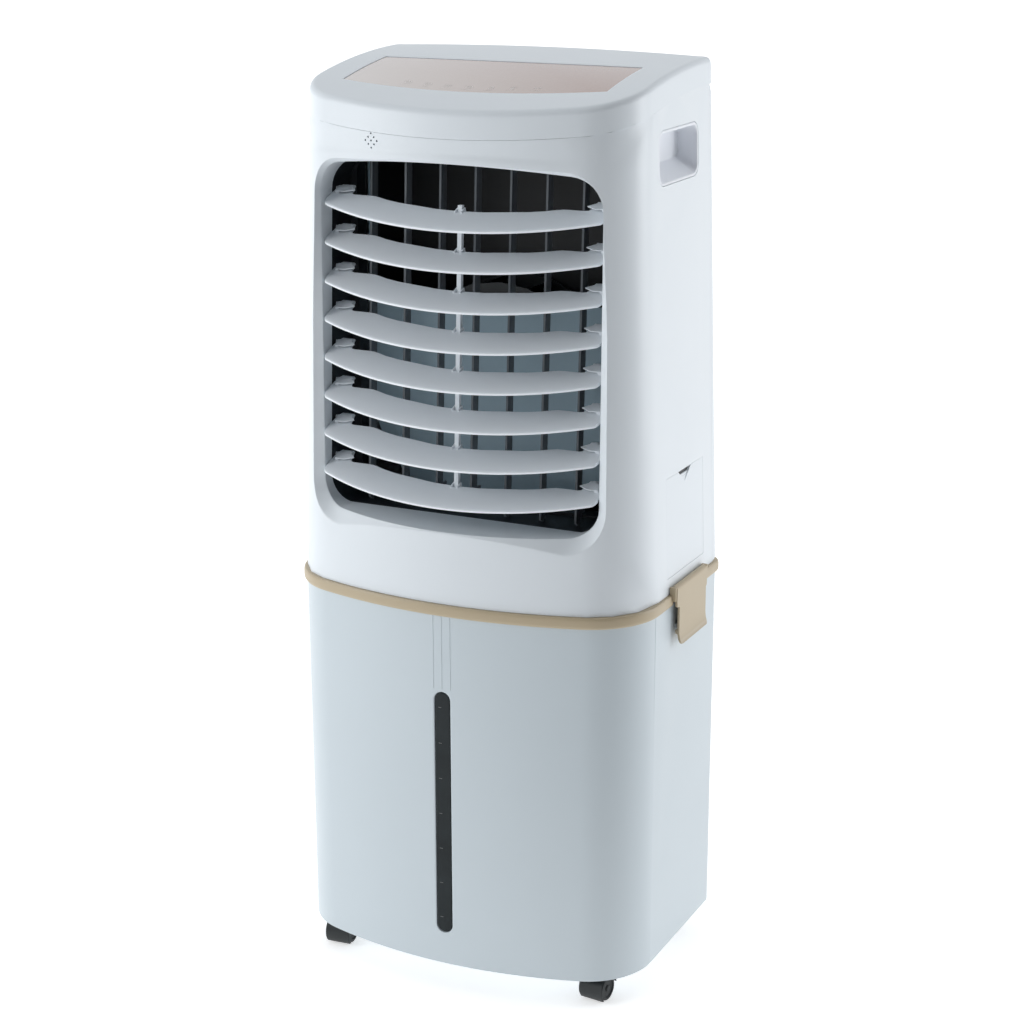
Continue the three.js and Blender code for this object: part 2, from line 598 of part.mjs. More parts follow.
// A holder whose upright leans back as the outlet's inside does, at the middle of the vanes' pivots.
function leaningHolder(x) {
  const holder = new THREE.Group();
  holder.position.set(x, VANE.pivotY, OUTLET.middle);
  holder.rotation.x = -Math.atan(LEAN);
  cooler.add(holder);
  return holder;
}
const LEAN_DEGREES = THREE.MathUtils.radToDeg(Math.atan(LEAN));
const lean = (body) => body.rotate([-LEAN_DEGREES, 0, 0]).translate([0, VANE.pivotY, OUTLET.middle]);

function outletDuct() {
  const { plateY, backY, wall } = DUCT;
  const seam = (z) => new THREE.Vector2(leanY(OUTLET.seamY + GAP, z), z);
  const [foot, head] = [new THREE.Vector2(60, 500), new THREE.Vector2(60, 1080)];
  const behindSeam = prismX([seam(500), foot, head, seam(1080)], -EVERYWHERE, EVERYWHERE);
  const neck = (grow) => roundRect(0, NECK.z, NECK.half + grow, NECK.high + grow, NECK.corner + grow);
  let duct = prismY(outletShape(wall), -110, plateY);
  duct = duct.subtract(prismY(outletShape(0), -120, plateY - wall)).intersect(behindSeam);
  duct = duct.add(prismY(neck(wall), plateY - wall, backY)).subtract(prismY(neck(0), plateY - 10, 0));
  for (const i of range(LOUVRES)) {
    duct = duct.subtract(rod('x', 2.9, -190, 190, onBlade(i, LOUVRE.pivot), 6));
  }
  for (const i of range(VANES)) {
    duct = duct.subtract(lean(rod('z', 2.9, -230, 230, [vaneX(i), 0], 6)));
  }
  return duct;
}

// A bowed blade, drawn flat with its front edge at the origin and then tilted nose-down.
function louvre() {
  const { nose, radius, tip, thick, pivot, pin } = LOUVRE;
  const front = (u) => nose + radius - Math.sqrt(radius ** 2 - u ** 2);
  const steps = 8;
  const plan = [
    ...range(steps + 1).map((i) => lerp(-tip, tip, i / steps)).map((u) => new THREE.Vector2(u, front(u))),
    ...LOUVRE_BACK.map(([u, v]) => new THREE.Vector2(u, v)),
    ...LOUVRE_BACK.slice(0, -1).reverse().map(([u, v]) => new THREE.Vector2(-u, v)),
  ];
  let blade = prismZ(plan, -thick / 2, thick / 2);
  for (const side of [-1, 1]) {
    const lug = rod('x', 5, side * 154, side * 166, [pivot, 0], 8);
    const axle = rod('x', 2.3, side * 154, side * (OUTLET.half + 2), [pivot, 0], 6);
    blade = join(blade, lug, axle);
  }
  blade = blade.subtract(box(-3.2, 3.2, pin - 6, pin + 20, -5, 5));
  for (const side of [-1, 1]) {
    blade = blade.add(box(side * 3.2, side * 5.2, pin - 8, pin + 3, -3, 3));
  }
  return blade.add(rod('x', 1.5, -4, 4, [pin, 0], 6));
}

function louvreTieBar() {
  const ends = [onBlade(0, LOUVRE.pin), onBlade(LOUVRES - 1, LOUVRE.pin)];
  const [[topY, topZ], [lowY, lowZ]] = ends;
  const side = [[lowY - 3, lowZ - 6], [lowY + 3, lowZ - 6], [topY + 3, topZ + 6], [topY - 3, topZ + 6]];
  let bar = prismX(side.map(([y, z]) => new THREE.Vector2(y, z)), -2.6, 2.6);
  for (const i of range(LOUVRES)) {
    bar = bar.subtract(rod('x', 2.1, -4, 4, onBlade(i, LOUVRE.pin), 6));
  }
  return bar;
}

add('outlet_duct', outletDuct(), DARK_PLASTIC);
for (const i of range(LOUVRES)) {
  const holder = new THREE.Group();
  holder.position.set(0, louvreY(i), louvreZ(i));
  holder.rotation.x = tilt;
  cooler.add(holder);
  add(`louvre_${i + 1}`, louvre(), LOUVRE_GREY, holder);
}
add('louvre_tie_bar', louvreTieBar(), LOUVRE_GREY);

const LINK = { y: 14, half: 3, thick: 3, gap: 4, lug: 4 }; // behind the vanes' pivots

// An upright vane about its own pivot. Two lugs behind its lower end hold the link bar's pin.
function vane(x, shaftTop) {
  const { chord, thick, gap, linkZ } = VANE;
  const top = OUTLET.high + archAt(x, true) - OUTLET.middle;
  const low = OUTLET.low + archAt(x, false) - OUTLET.middle;
  const blade = box(-thick / 2, thick / 2, -chord / 2, chord / 2, low + gap, top - gap);
  const pivot = rod('z', 2.2, low - 2.5, top + shaftTop, [0, 0], 6)
    .subtract(box(-5, 5, -5, 5, low + 2 * gap, top - 2 * gap));
  let body = join(blade, pivot, rod('z', 1.5, linkZ - LINK.gap - 1, linkZ + LINK.gap + 1, [0, LINK.y], 6));
  for (const side of [-1, 1]) {
    const z = linkZ + side * LINK.gap;
    body = body.add(box(-thick / 2, thick / 2, 0, LINK.y + 3, z, z + side * LINK.lug));
  }
  return body;
}

function vaneLinkBar() {
  const reach = vaneX(VANES - 1) + 8;
  const { y, half, thick } = LINK;
  let bar = box(-reach, reach, y - half, y + half, VANE.linkZ - thick / 2, VANE.linkZ + thick / 2);
  for (const i of range(VANES)) {
    bar = bar.subtract(rod('z', 2.1, VANE.linkZ - 5, VANE.linkZ + 5, [vaneX(i), y], 6));
  }
  return bar;
}

const DRIVEN = (VANES - 1) / 2; // the middle vane carries the swing motor's shaft
for (const i of range(VANES)) {
  const shaftTop = i === DRIVEN ? 11 : 2.5;
  add(`vane_${i + 1}`, vane(vaneX(i), shaftTop), DARK_PLASTIC, leaningHolder(vaneX(i)));
}
add('vane_link_bar', vaneLinkBar(), DARK_PLASTIC, leaningHolder(0));

// The can stands over the middle vane's shaft, its foot cut to the duct's top.
function swingMotor() {
  const low = OUTLET.high - OUTLET.middle;
  const can = rod('z', 17, low, low + 25, [0, 0], 24);
  const tabs = box(-24, 24, -5, 5, low, low + 6);
  const motor = lean(join(can, tabs).subtract(rod('z', 2.6, low - 1, low + 14, [0, 0], 12)));
  return motor.subtract(prismY(outletShape(DUCT.wall + GAP), -120, 20));
}
add('swing_motor', swingMotor(), STEEL);

// ---------------------------------------------------------------- head: blower
function blowerHousing() {
  const { z, half, high, frontY, backY, lipZ, eye } = BLOWER;
  const shape = (inset) => {
    const r = half - inset;
    return [
      ...arc(0, BLOWER.low + half, r, 180, 360, 20),
      new THREE.Vector2(r, high - inset), new THREE.Vector2(-r, high - inset),
    ];
  };
  const hollow = prismY(shape(WALL), frontY + WALL, backY - WALL);
  const mouth = box(-half + WALL, half - WALL, frontY - 1, frontY + WALL + 1, lipZ, high - WALL);
  const inlet = rod('y', eye, backY - WALL - 1, backY + 1, [0, z], 32);
  return prismY(shape(0), frontY, backY).subtract(hollow).subtract(mouth).subtract(inlet);
}

// A squirrel-cage wheel, open to the back, dished around the motor.
function blowerWheel() {
  const { radius, eyeRadius, frontY, backY, blades } = WHEEL;
  const [cup, cupY, bore, hub] = [54, 50, 4.4, 11];
  const profile = [
    [bore, cupY - 3], [hub, cupY - 3], [hub, cupY], [cup, cupY], [cup, frontY], [radius, frontY],
    [radius, frontY + 3], [cup + 3, frontY + 3], [cup + 3, cupY + 3], [hub, cupY + 3], [hub, cupY + 12],
    [bore, cupY + 12], [bore, cupY - 3],
  ].map(([r, y]) => new THREE.Vector2(r, y));
  let wheel = solid(new THREE.LatheGeometry(profile, 24));
  const rim = [
    [eyeRadius, backY - 3], [radius, backY - 3], [radius, backY], [eyeRadius, backY], [eyeRadius, backY - 3],
  ].map(([r, y]) => new THREE.Vector2(r, y));
  wheel = wheel.add(solid(new THREE.LatheGeometry(rim, 24)));
  for (const i of range(blades)) {
    const geometry = new THREE.BoxGeometry(22, backY - frontY - 2, 1.6)
      .rotateY(radians(28))
      .translate((radius + eyeRadius) / 2 - 0.5, (backY + frontY) / 2, 0)
      .rotateY((2 * Math.PI * i) / blades);
    wheel = wheel.add(solid(geometry));
  }
  return wheel;
}

add('blower_housing', blowerHousing(), DUCT_GREY);
add('fan_motor', rod('y', 42, BLOWER.frontY + WALL + GAP, 45, [0, BLOWER.z], 24), STEEL);
const wheelHolder = new THREE.Group();
wheelHolder.position.z = BLOWER.z;
cooler.add(wheelHolder);
add('blower_wheel', blowerWheel(), BLACK, wheelHolder);
add('blower_shaft', rod('y', 4, 45 + GAP, 68, [0, 0], 12), STEEL, wheelHolder);

// ---------------------------------------------------------------- head: pad, water and back
function waterDistributor() {
  const [low, high] = [PAD.high + GAP, PAD.high + 18];
  let trough = box(-PAD.half, PAD.half, PAD.frontY, PAD.backY, low, high);
  const inner = PAD.half - 2;
  trough = trough.subtract(box(-inner, inner, PAD.frontY + 2, PAD.backY - 2, low + 2, high + 1));
  const middle = (PAD.frontY + PAD.backY) / 2;
  for (const i of range(7)) {
    const x = lerp(-138, 138, i / 6);
    trough = trough.subtract(box(x - 14, x + 14, middle - 2, middle + 2, low - 1, low + 3));
  }
  trough = trough.add(rod('x', 4, -PAD.half - 4, -PAD.half + 1, [HOSE.y, low + 9], 12));
  return trough.subtract(rod('x', 2.5, -PAD.half - 5, -PAD.half + 3, [HOSE.y, low + 9], 12));
}

const PUMP = { x: -150, y: 68, low: 56, high: 104 };

function pump() {
  const { x, y, low, high } = PUMP;
  const can = prismZ(roundRect(x, y, 26, 22, 8, 3), low, high);
  const outlet = rod('z', 5, high - 1, high + 12, [x, y], 12);
  return join(can, outlet).subtract(rod('z', 10, low - 1, low + 8, [x, y], 16));
}

function pumpStrainer() {
  const { x, y, low } = PUMP;
  const foot = prismZ(roundRect(x, y, 28, 24, 9, 3), FLOOR_TOP + 0.5, low - GAP);
  return foot.subtract(rod('z', 9, FLOOR_TOP, low, [x, y], 16));
}

// From the pump's outlet up the back left corner and over to the end of the distributor.
function pumpHose() {
  const { x, y, high } = PUMP;
  const end = PAD.high + GAP + 9;
  const route = [
    [x, y, high + 12 + GAP], [x, y, 220], [x, y, 320], [HOSE.x, HOSE.y, 420], [HOSE.x, HOSE.y, 480],
    [HOSE.x, HOSE.y, 560], [HOSE.x, HOSE.y, 960], [HOSE.x, HOSE.y, end - 18], [HOSE.x + 5, HOSE.y, end - 5],
    [HOSE.x + 15, HOSE.y, end], [-PAD.half - 4 - GAP, HOSE.y, end],
  ].map((place) => new THREE.Vector3(...place));
  const path = new THREE.CatmullRomCurve3(route, false, 'centripetal');
  const section = new THREE.Shape(arc(0, 0, HOSE.r, 0, 300, 5));
  return solid(new THREE.ExtrudeGeometry(section, { steps: 28, extrudePath: path, bevelEnabled: false }));
}

function rearGrille() {
  const { z, half, high, corner, frontY, backY, slats } = GRILLE;
  const ring = (inset) => roundRect(0, z, half - inset, high - inset, Math.max(corner - inset, 3));
  let grille = prismY(ring(0.6), frontY, backY).subtract(prismY(ring(14), frontY - 1, backY + 1));
  for (const i of range(slats)) {
    const level = z + (i - (slats - 1) / 2) * ((2 * (high - 14)) / slats);
    grille = grille.add(box(-half + 12, half - 12, frontY + 1, backY - 0.5, level - 1.5, level + 1.5));
  }
  for (const x of [-half / 3, half / 3]) {
    grille = grille.add(box(x - 2, x + 2, frontY + 1, backY - 0.5, z - high + 12, z + high - 12));
  }
  return grille;
}

function dustFilter() {
  const { z, half, high, frontY } = GRILLE;
  return prismY(roundRect(0, z, half - 3, high - 3, 9), frontY - 2.5, frontY - GAP);
}

function cordGland() {
  const place = [GLAND.x, GLAND.z];
  const back = WAIST.back;
  const flange = rod('y', 9, back + GAP, back + 3.3, place, 12);
  const neck = rod('y', GLAND.r, back - 5, back + 7, place, 12);
  return join(flange, neck).subtract(rod('y', 3.2, back - 2, back + 9, place, 8));
}

add('cooling_pad', box(-PAD.half, PAD.half, PAD.frontY, PAD.backY, PAD.low, PAD.high), PAPER);
add('water_distributor', waterDistributor(), LIGHT_GREY);
add('pump', pump(), BLACK);
add('pump_strainer', pumpStrainer(), DARK_PLASTIC);
add('pump_hose', pumpHose(), RUBBER);
add('rear_grille', rearGrille(), WHITE);
add('dust_filter', dustFilter(), DARK_PLASTIC);
add('cord_gland', cordGland(), BLACK);

export default cooler;
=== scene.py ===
import json
import math

import bmesh
import bpy
import numpy as np
from mathutils import Matrix, Vector

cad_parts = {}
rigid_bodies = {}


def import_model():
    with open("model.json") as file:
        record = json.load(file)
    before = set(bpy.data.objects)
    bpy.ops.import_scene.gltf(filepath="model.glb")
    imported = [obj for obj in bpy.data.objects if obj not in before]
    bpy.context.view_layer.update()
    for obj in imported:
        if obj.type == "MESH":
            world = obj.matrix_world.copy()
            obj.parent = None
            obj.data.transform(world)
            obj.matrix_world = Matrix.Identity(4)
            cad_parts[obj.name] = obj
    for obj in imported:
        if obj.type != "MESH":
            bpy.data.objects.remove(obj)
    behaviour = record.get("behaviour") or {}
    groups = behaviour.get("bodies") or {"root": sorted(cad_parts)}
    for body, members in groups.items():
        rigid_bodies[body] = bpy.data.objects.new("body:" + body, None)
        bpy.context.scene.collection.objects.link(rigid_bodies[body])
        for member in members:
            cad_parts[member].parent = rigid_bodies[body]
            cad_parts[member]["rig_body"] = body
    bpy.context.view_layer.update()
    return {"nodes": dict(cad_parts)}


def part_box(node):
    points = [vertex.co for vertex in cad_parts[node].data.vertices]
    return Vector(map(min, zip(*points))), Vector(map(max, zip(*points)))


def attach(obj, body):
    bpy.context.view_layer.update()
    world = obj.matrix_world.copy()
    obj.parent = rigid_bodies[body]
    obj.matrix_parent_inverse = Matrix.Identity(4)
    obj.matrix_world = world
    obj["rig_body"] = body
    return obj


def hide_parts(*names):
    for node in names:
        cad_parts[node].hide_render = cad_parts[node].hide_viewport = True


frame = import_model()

MM = 0.001
TINY = 1e-6
CENTRE_Y = -5.5  # the shapes below are drawn about the waist, and moved by this to the part's origin

# ---------------- driving dimensions


def span(node):
    """Lowest and highest corners of a CAD node, in millimetres."""
    low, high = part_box(node)
    centre = np.array([0.0, CENTRE_Y, 0.0])
    return np.array(low) / MM - centre, np.array(high) / MM - centre


# Half width, front and back of the body's outline at three heights.
HEIGHTS = (34.0, 487.0, 1100.0)
OUTLINE = {
    "half": (225.5, 227.2, 208.5),
    "front": (-148.0, -149.3, -140.9),
    "back": (164.3, 160.0, 154.3),
}
WAIST_HALF, WAIST_FRONT, WAIST_BACK = (OUTLINE[name][1] for name in ("half", "front", "back"))
BOW = 552.0  # plan radius of the bowed front
CORNER = 84.0  # plan radius of the front corners
BACK_CORNER = 14.0
CROWN_CURVE = 0.000537  # fall of the top, per mm squared, forward of its crest
WALL = 3.0
THIN_WALL = 2.2
SEAM_TUCK = 0.7  # how far the edges of the mouldings are rounded

(_, _, TANK_LOW), (_, TANK_SEAM, TANK_HIGH) = span("tank_front_cover")
(_, _, HEAD_LOW), (_, HEAD_SEAM, _) = span("front_shell")
REAR_SEAM = span("rear_shell")[0][1]
COVER_DEPTH = 30.4
UNDER_COVER = COVER_DEPTH + 0.3  # where the shells end, just below the cover

TOP = {"z": 1103.4, "crest": 142.3, "dome": 4.5, "dome_from": -61.0, "half": 208.5}
OUTLET = {"half": 177.6, "low": 580.8, "high": 1002.5, "corner": 32.0, "sill": 584.0}
SEAM_Y, SEAM_Z = -79.5, 790.0  # a point of the plane where the outlet's recess ends
LEAN = 0.0477  # the outlet's inside leans back by this much per mm of height
ARCH_HIGH, ARCH_LOW = -0.00045, 0.00012  # how its top and bottom edges bow, per mm squared
RIM_RADIUS = 373.0
BEVEL_SLOPE = 0.645  # how far the bevel round it comes forward per mm outwards
NARROW_FROM, NARROW_TO = 800.0, 985.0  # the heights between which the bevel narrows


# ---------------- the body's outline
def measure(name, z):
    return np.interp(z, HEIGHTS, OUTLINE[name])


def arc(cx, cy, r, start, end, steps):
    """Points of an arc, angles in degrees."""
    angle = np.radians(np.linspace(start, end, steps + 1))
    return np.stack([cx + r * np.cos(angle), cy + r * np.sin(angle)], -1)


def outline_table():
    """Right half of the waist outline: distance along it from the front, place, and normal."""
    corner_x = WAIST_HALF - CORNER
    swing = math.degrees(math.asin(corner_x / (BOW - CORNER)))
    bow_y = WAIST_FRONT + BOW
    corner_y = bow_y - (BOW - CORNER) * math.cos(math.radians(swing))
    runs = [
        (0.0, bow_y, BOW, -90.0, -90.0 + swing),
        (corner_x, corner_y, CORNER, -90.0 + swing, 0.0),
        (WAIST_HALF - BACK_CORNER, WAIST_BACK - BACK_CORNER, BACK_CORNER, 0.0, 90.0),
    ]
    places, normals, ends = [], [], []
    for cx, cy, r, start, end in runs:
        places.append(arc(cx, cy, r, start, end, 60))
        normals.append(arc(0, 0, 1, start, end, 60))
        ends.append(sum(len(p) for p in places) - 1)
    places = np.concatenate(places + [[[0.0, WAIST_BACK]]])
    normals = np.concatenate(normals + [[[0.0, 1.0]]])
    along = np.concatenate([[0.0], np.cumsum(np.hypot(*np.diff(places, axis=0).T))])
    return along, places, normals, ends


ALONG, PLACES, NORMALS, RUN_ENDS = outline_table()
BOW_END, CORNER_END = ALONG[RUN_ENDS[0]], ALONG[RUN_ENDS[1]]
BACK_END = ALONG[RUN_ENDS[2]]
BACK_START = ALONG[RUN_ENDS[1] + 1]
LOOP_HALF = ALONG[-1]  # from the front centre to the back centre


def waist(s, inset=0.0):
    """Point (x, y) of the waist outline at distance s along it, moved in by inset."""
    a = np.abs(s)
    x, y = (np.interp(a, ALONG, PLACES[:, k]) - inset * np.interp(a, ALONG, NORMALS[:, k]) for k in (0, 1))
    return np.where(s < 0, -1.0, 1.0) * x, y


def skin(s, z, inset=0.0):
    """Point of the outer skin at distance s along the outline and height z, moved in by inset."""
    s, z = np.broadcast_arrays(np.asarray(s, float), np.asarray(z, float))
    x, y = waist((s + LOOP_HALF) % (2 * LOOP_HALF) - LOOP_HALF, inset)
    front, back = measure("front", z), measure("back", z)
    x = x * measure("half", z) / WAIST_HALF
    y = front + (y - WAIST_FRONT) * (back - front) / (WAIST_BACK - WAIST_FRONT)
    return np.stack([x, y, z], -1)


def s_front(x, z):
    """Distance along the outline of the front point with this x."""
    reach = RUN_ENDS[1]
    waist_x = np.abs(x) * WAIST_HALF / measure("half", z)
    return np.sign(x) * np.interp(waist_x, PLACES[:reach, 0], ALONG[:reach])


def s_side(y, z):
    """Distance along the outline of the side point with this y."""
    front, back = measure("front", z), measure("back", z)
    waist_y = WAIST_FRONT + (y - front) * (WAIST_BACK - WAIST_FRONT) / (back - front)
    return np.interp(waist_y, PLACES[RUN_ENDS[0]: RUN_ENDS[2], 1], ALONG[RUN_ENDS[0]: RUN_ENDS[2]])


def s_back(x, z):
    """Distance along the outline of the back point with this x."""
    return LOOP_HALF - x * WAIST_HALF / measure("half", z)


def top_z(x, y):
    """Height of the top: it falls towards the front, and is domed across its rear half."""
    rear = np.clip((y - TOP["dome_from"]) / (TOP["crest"] - TOP["dome_from"]), 0, 1)
    dome = TOP["dome"] * np.maximum(1 - (x / TOP["half"]) ** 2, 0) * rear ** 3
    return TOP["z"] + dome - CROWN_CURVE * (TOP["crest"] - np.minimum(y, TOP["crest"])) ** 2


def crown(s, drop, inset=0.0):
    """Point of the skin that lies `drop` under the curved top."""
    z = np.full(np.shape(s), TOP["z"] - drop)
    for _ in range(5):
        place = skin(s, z, inset)
        z = top_z(place[..., 0], place[..., 1]) - drop
    return skin(s, z, inset)


def lerp(a, b, t):
    return a + (b - a) * t


def middle_and_half(low, high):
    return (low + high) / 2, (high - low) / 2


def upright(xz, y):
    """Points given as (x, z), stood up at this y."""
    return np.insert(xz, 1, y, axis=1)


def sunk(points, depth):
    """The points moved towards the back."""
    moved = np.array(points, float)
    moved[:, 1] += depth
    return moved


def rounded_rect(cu, cv, half, high, r, steps=8):
    corners = ((1, 1), (-1, 1), (-1, -1), (1, -1))
    return np.concatenate([
        arc(cu + u * (half - r), cv + v * (high - r), r, 90 * k, 90 * k + 90, steps)
        for k, (u, v) in enumerate(corners)])


def rect_rays(half, high, corner, side_steps, top_steps, corner_steps):
    """Anchors on the inner rectangle of a rounded one, and the outward ray at each of its points."""
    a, b = half - corner, high - corner
    corners = [(a, -b), (a, b), (-a, b), (-a, -b)]
    anchors, angles = [], []
    for k in range(4):
        p, q = np.array(corners[k]), np.array(corners[(k + 1) % 4])
        steps = side_steps if k % 2 == 0 else top_steps
        anchors += [lerp(p, q, i / steps) for i in range(steps)]
        angles += [90.0 * k] * steps
        anchors += [q] * corner_steps
        angles += [90.0 * k + 90.0 * i / corner_steps for i in range(corner_steps)]
    angles = np.radians(angles)
    return np.array(anchors), np.stack([np.cos(angles), np.sin(angles)], -1)


class Opening:
    """A rounded rectangle in a wall, with a ray outwards from each of its points."""

    def __init__(self, half, tall, corner, middle, steps):
        self.corner, self.middle = corner, middle
        self.anchors, self.rays = rect_rays(half, tall, corner, *steps)
        self.anchor_z = self.anchors[:, 1] + middle

    def xz(self, grow=0.0):
        xz = self.anchors + self.rays * (self.corner + np.broadcast_to(grow, len(self.rays)))[:, None]
        return xz[:, 0], xz[:, 1] + self.middle

    def on_skin(self, place, grow, depth):
        """The outline on the skin, sunk by depth; place gives the distance along the body's outline."""
        x, z = self.xz(grow)
        return sunk(skin(place(x, z), z), depth)

    def border(self, anchor_s, reach, low, high):
        """Where each ray meets the border of its panel; high gives the panel's top at a distance."""
        square = self.rays / np.abs(self.rays).max(axis=1, keepdims=True)
        s = anchor_s + square[:, 0] * (reach - np.abs(anchor_s))
        up, down = np.maximum(square[:, 1], 0), np.minimum(square[:, 1], 0)
        return s, self.anchor_z + up * (high(s) - self.anchor_z) + down * (self.anchor_z - low)


# ---------------- mesh building
class Shape:
    """A mesh in the making."""

    def __init__(self):
        self.bm = bmesh.new()

    def verts(self, points):
        return [self.bm.verts.new(p) for p in np.asarray(points, float).reshape(-1, 3)]

    def face(self, verts):
        if len(set(verts)) > 2:
            self.bm.faces.new(verts)

    def loft(self, loops, closed=True, caps=False):
        """Quads between successive loops of equally many points."""
        rows = [self.verts(loop) for loop in loops]
        count = len(rows[0])
        for low, high in zip(rows, rows[1:]):
            for i in range(count if closed else count - 1):
                j = (i + 1) % count
                self.face([low[i], low[j], high[j], high[i]])
        if caps:
            self.face(rows[0][::-1])
            self.face(rows[-1])
        return self

    def fill(self, *loops):
        """A flat sheet inside the first loop, with the others as holes."""
        edges = []
        for loop in loops:
            row = self.verts(loop)
            edges += [self.bm.edges.new((row[i], row[(i + 1) % len(row)])) for i in range(len(row))]
        bmesh.ops.triangle_fill(self.bm, use_beauty=True, use_dissolve=False, edges=edges)
        return self

    def box(self, x0, x1, y0, y1, z0, z1):
        loop = lambda z: [(x0, y0, z), (x1, y0, z), (x1, y1, z), (x0, y1, z)]
        return self.loft([loop(z0), loop(z1)], caps=True)

    def spin(self, profile, centre, axis="y", steps=48, closed=True):
        """A profile of (radius, along) turned about an axis through centre."""
        angle = np.linspace(0, 2 * math.pi, steps, endpoint=False)
        order = {"x": (2, 0, 1), "y": (0, 2, 1), "z": (0, 1, 2)}[axis]
        loops = []
        for r, along in profile:
            ring = np.stack([r * np.cos(angle), r * np.sin(angle), np.full(steps, float(along))], -1)
            loops.append(ring[:, order] + np.array(centre))
        if closed:
            loops.append(loops[0])
        return self.loft(loops)

    def rod(self, axis, r, start, end, centre, steps=24, edge=0.4):
        """A round bar with softened ends; centre gives its two other coordinates."""
        profile = [(0.001, start), (r - edge, start), (r, start + edge), (r, end - edge),
                   (r - edge, end), (0.001, end)]
        where = list(centre)
        where.insert("xyz".index(axis), 0.0)
        return self.spin(profile, where, axis, steps, closed=False)


def finished(bm):
    """Merges the seams between the parts of a mesh and turns its faces away from the body's axis."""
    bmesh.ops.remove_doubles(bm, verts=bm.verts, dist=0.02)
    bmesh.ops.recalc_face_normals(bm, faces=bm.faces)
    centre = Vector((0.0, 0.0, sum(f.calc_center_median().z for f in bm.faces) / len(bm.faces)))
    outward = sum(f.calc_area() * f.normal.dot(f.calc_center_median() - centre) for f in bm.faces)
    if outward < 0:
        bmesh.ops.reverse_faces(bm, faces=bm.faces)


def mesh_of(name, shape):
    """The finished mesh in metres, at its place in the part's frame."""
    finished(shape.bm)
    bmesh.ops.translate(shape.bm, vec=(0.0, CENTRE_Y, 0.0), verts=shape.bm.verts)
    bmesh.ops.scale(shape.bm, vec=(MM, MM, MM), verts=shape.bm.verts)
    mesh = bpy.data.meshes.new(name)
    shape.bm.to_mesh(mesh)
    shape.bm.free()
    return mesh


def piece(name, shape, look, body, node=None, slot=None, thick=0.0, soften=0.0, cut=None):
    """Turns a shape into an object that rides on a CAD body and may stand for a CAD node."""
    dress(name, mesh_of(name, shape), look, body, node, thick, soften, cut)


def stand_in(node, shape, look, body, **finish):
    """A piece that replaces a CAD node and is named after it."""
    piece(f"{node}_piece", shape, look, body, node, **finish)


def dress(name, mesh, look, body, node=None, thick=0.0, soften=0.0, cut=None):
    """Gives a mesh its wall, cuts, rounded edges, look and body."""
    obj = bpy.data.objects.new(name, mesh)
    bpy.context.scene.collection.objects.link(obj)
    if thick:
        solidify = obj.modifiers.new("wall", "SOLIDIFY")
        solidify.thickness = thick * MM
        solidify.offset = -1
        solidify.use_even_offset = True
    if cut:
        boolean = obj.modifiers.new("cut", "BOOLEAN")
        boolean.object = cut
        boolean.solver = "EXACT"
    if soften:
        bevel = obj.modifiers.new("soft edges", "BEVEL")
        bevel.width = soften * MM
        bevel.segments = 2
        bevel.limit_method = "ANGLE"
        bevel.angle_limit = math.radians(50)
    if thick or soften or cut:
        graph = bpy.context.evaluated_depsgraph_get()
        graph.update()
        final = bpy.data.meshes.new_from_object(obj.evaluated_get(graph))
        obj.modifiers.clear()
        obj.data = final
        bpy.data.meshes.remove(mesh)
    obj.data.name = name
    for polygon in obj.data.polygons:
        polygon.use_smooth = True
    obj.data.set_sharp_from_angle(angle=math.radians(38))
    weighted = obj.modifiers.new("even shading", "WEIGHTED_NORMAL")
    weighted.keep_sharp = True
    obj.data.materials.clear()
    obj.data.materials.append(look)
    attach(obj, body)
    if node:
        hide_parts(node)


def softened(node, look, soften):
    """A CAD node's own shape with its edges rounded."""
    source = frame["nodes"][node]
    bm = bmesh.new()
    bm.from_mesh(source.data)
    bmesh.ops.remove_doubles(bm, verts=bm.verts, dist=0.00001)
    bmesh.ops.dissolve_limit(bm, angle_limit=math.radians(0.5), verts=bm.verts, edges=bm.edges)
    mesh = bpy.data.meshes.new(node)
    bm.to_mesh(mesh)
    bm.free()
    dress(f"{node}_piece", mesh, look, source["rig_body"], node, soften=soften)


# ---------------- materials
def srgb(red, green, blue):
    """8-bit sRGB to linear colour."""
    channel = lambda c: c / 12.92 if c <= 0.04045 else ((c + 0.055) / 1.055) ** 2.4
    return (*(channel(c / 255) for c in (red, green, blue)), 1.0)


def toned(colour, scale, white=0.0):
    """The colour made darker or lighter by a factor, then mixed towards white."""
    return (*(min(1.0, c * scale + (1 - c) * white) for c in colour[:3]), 1.0)


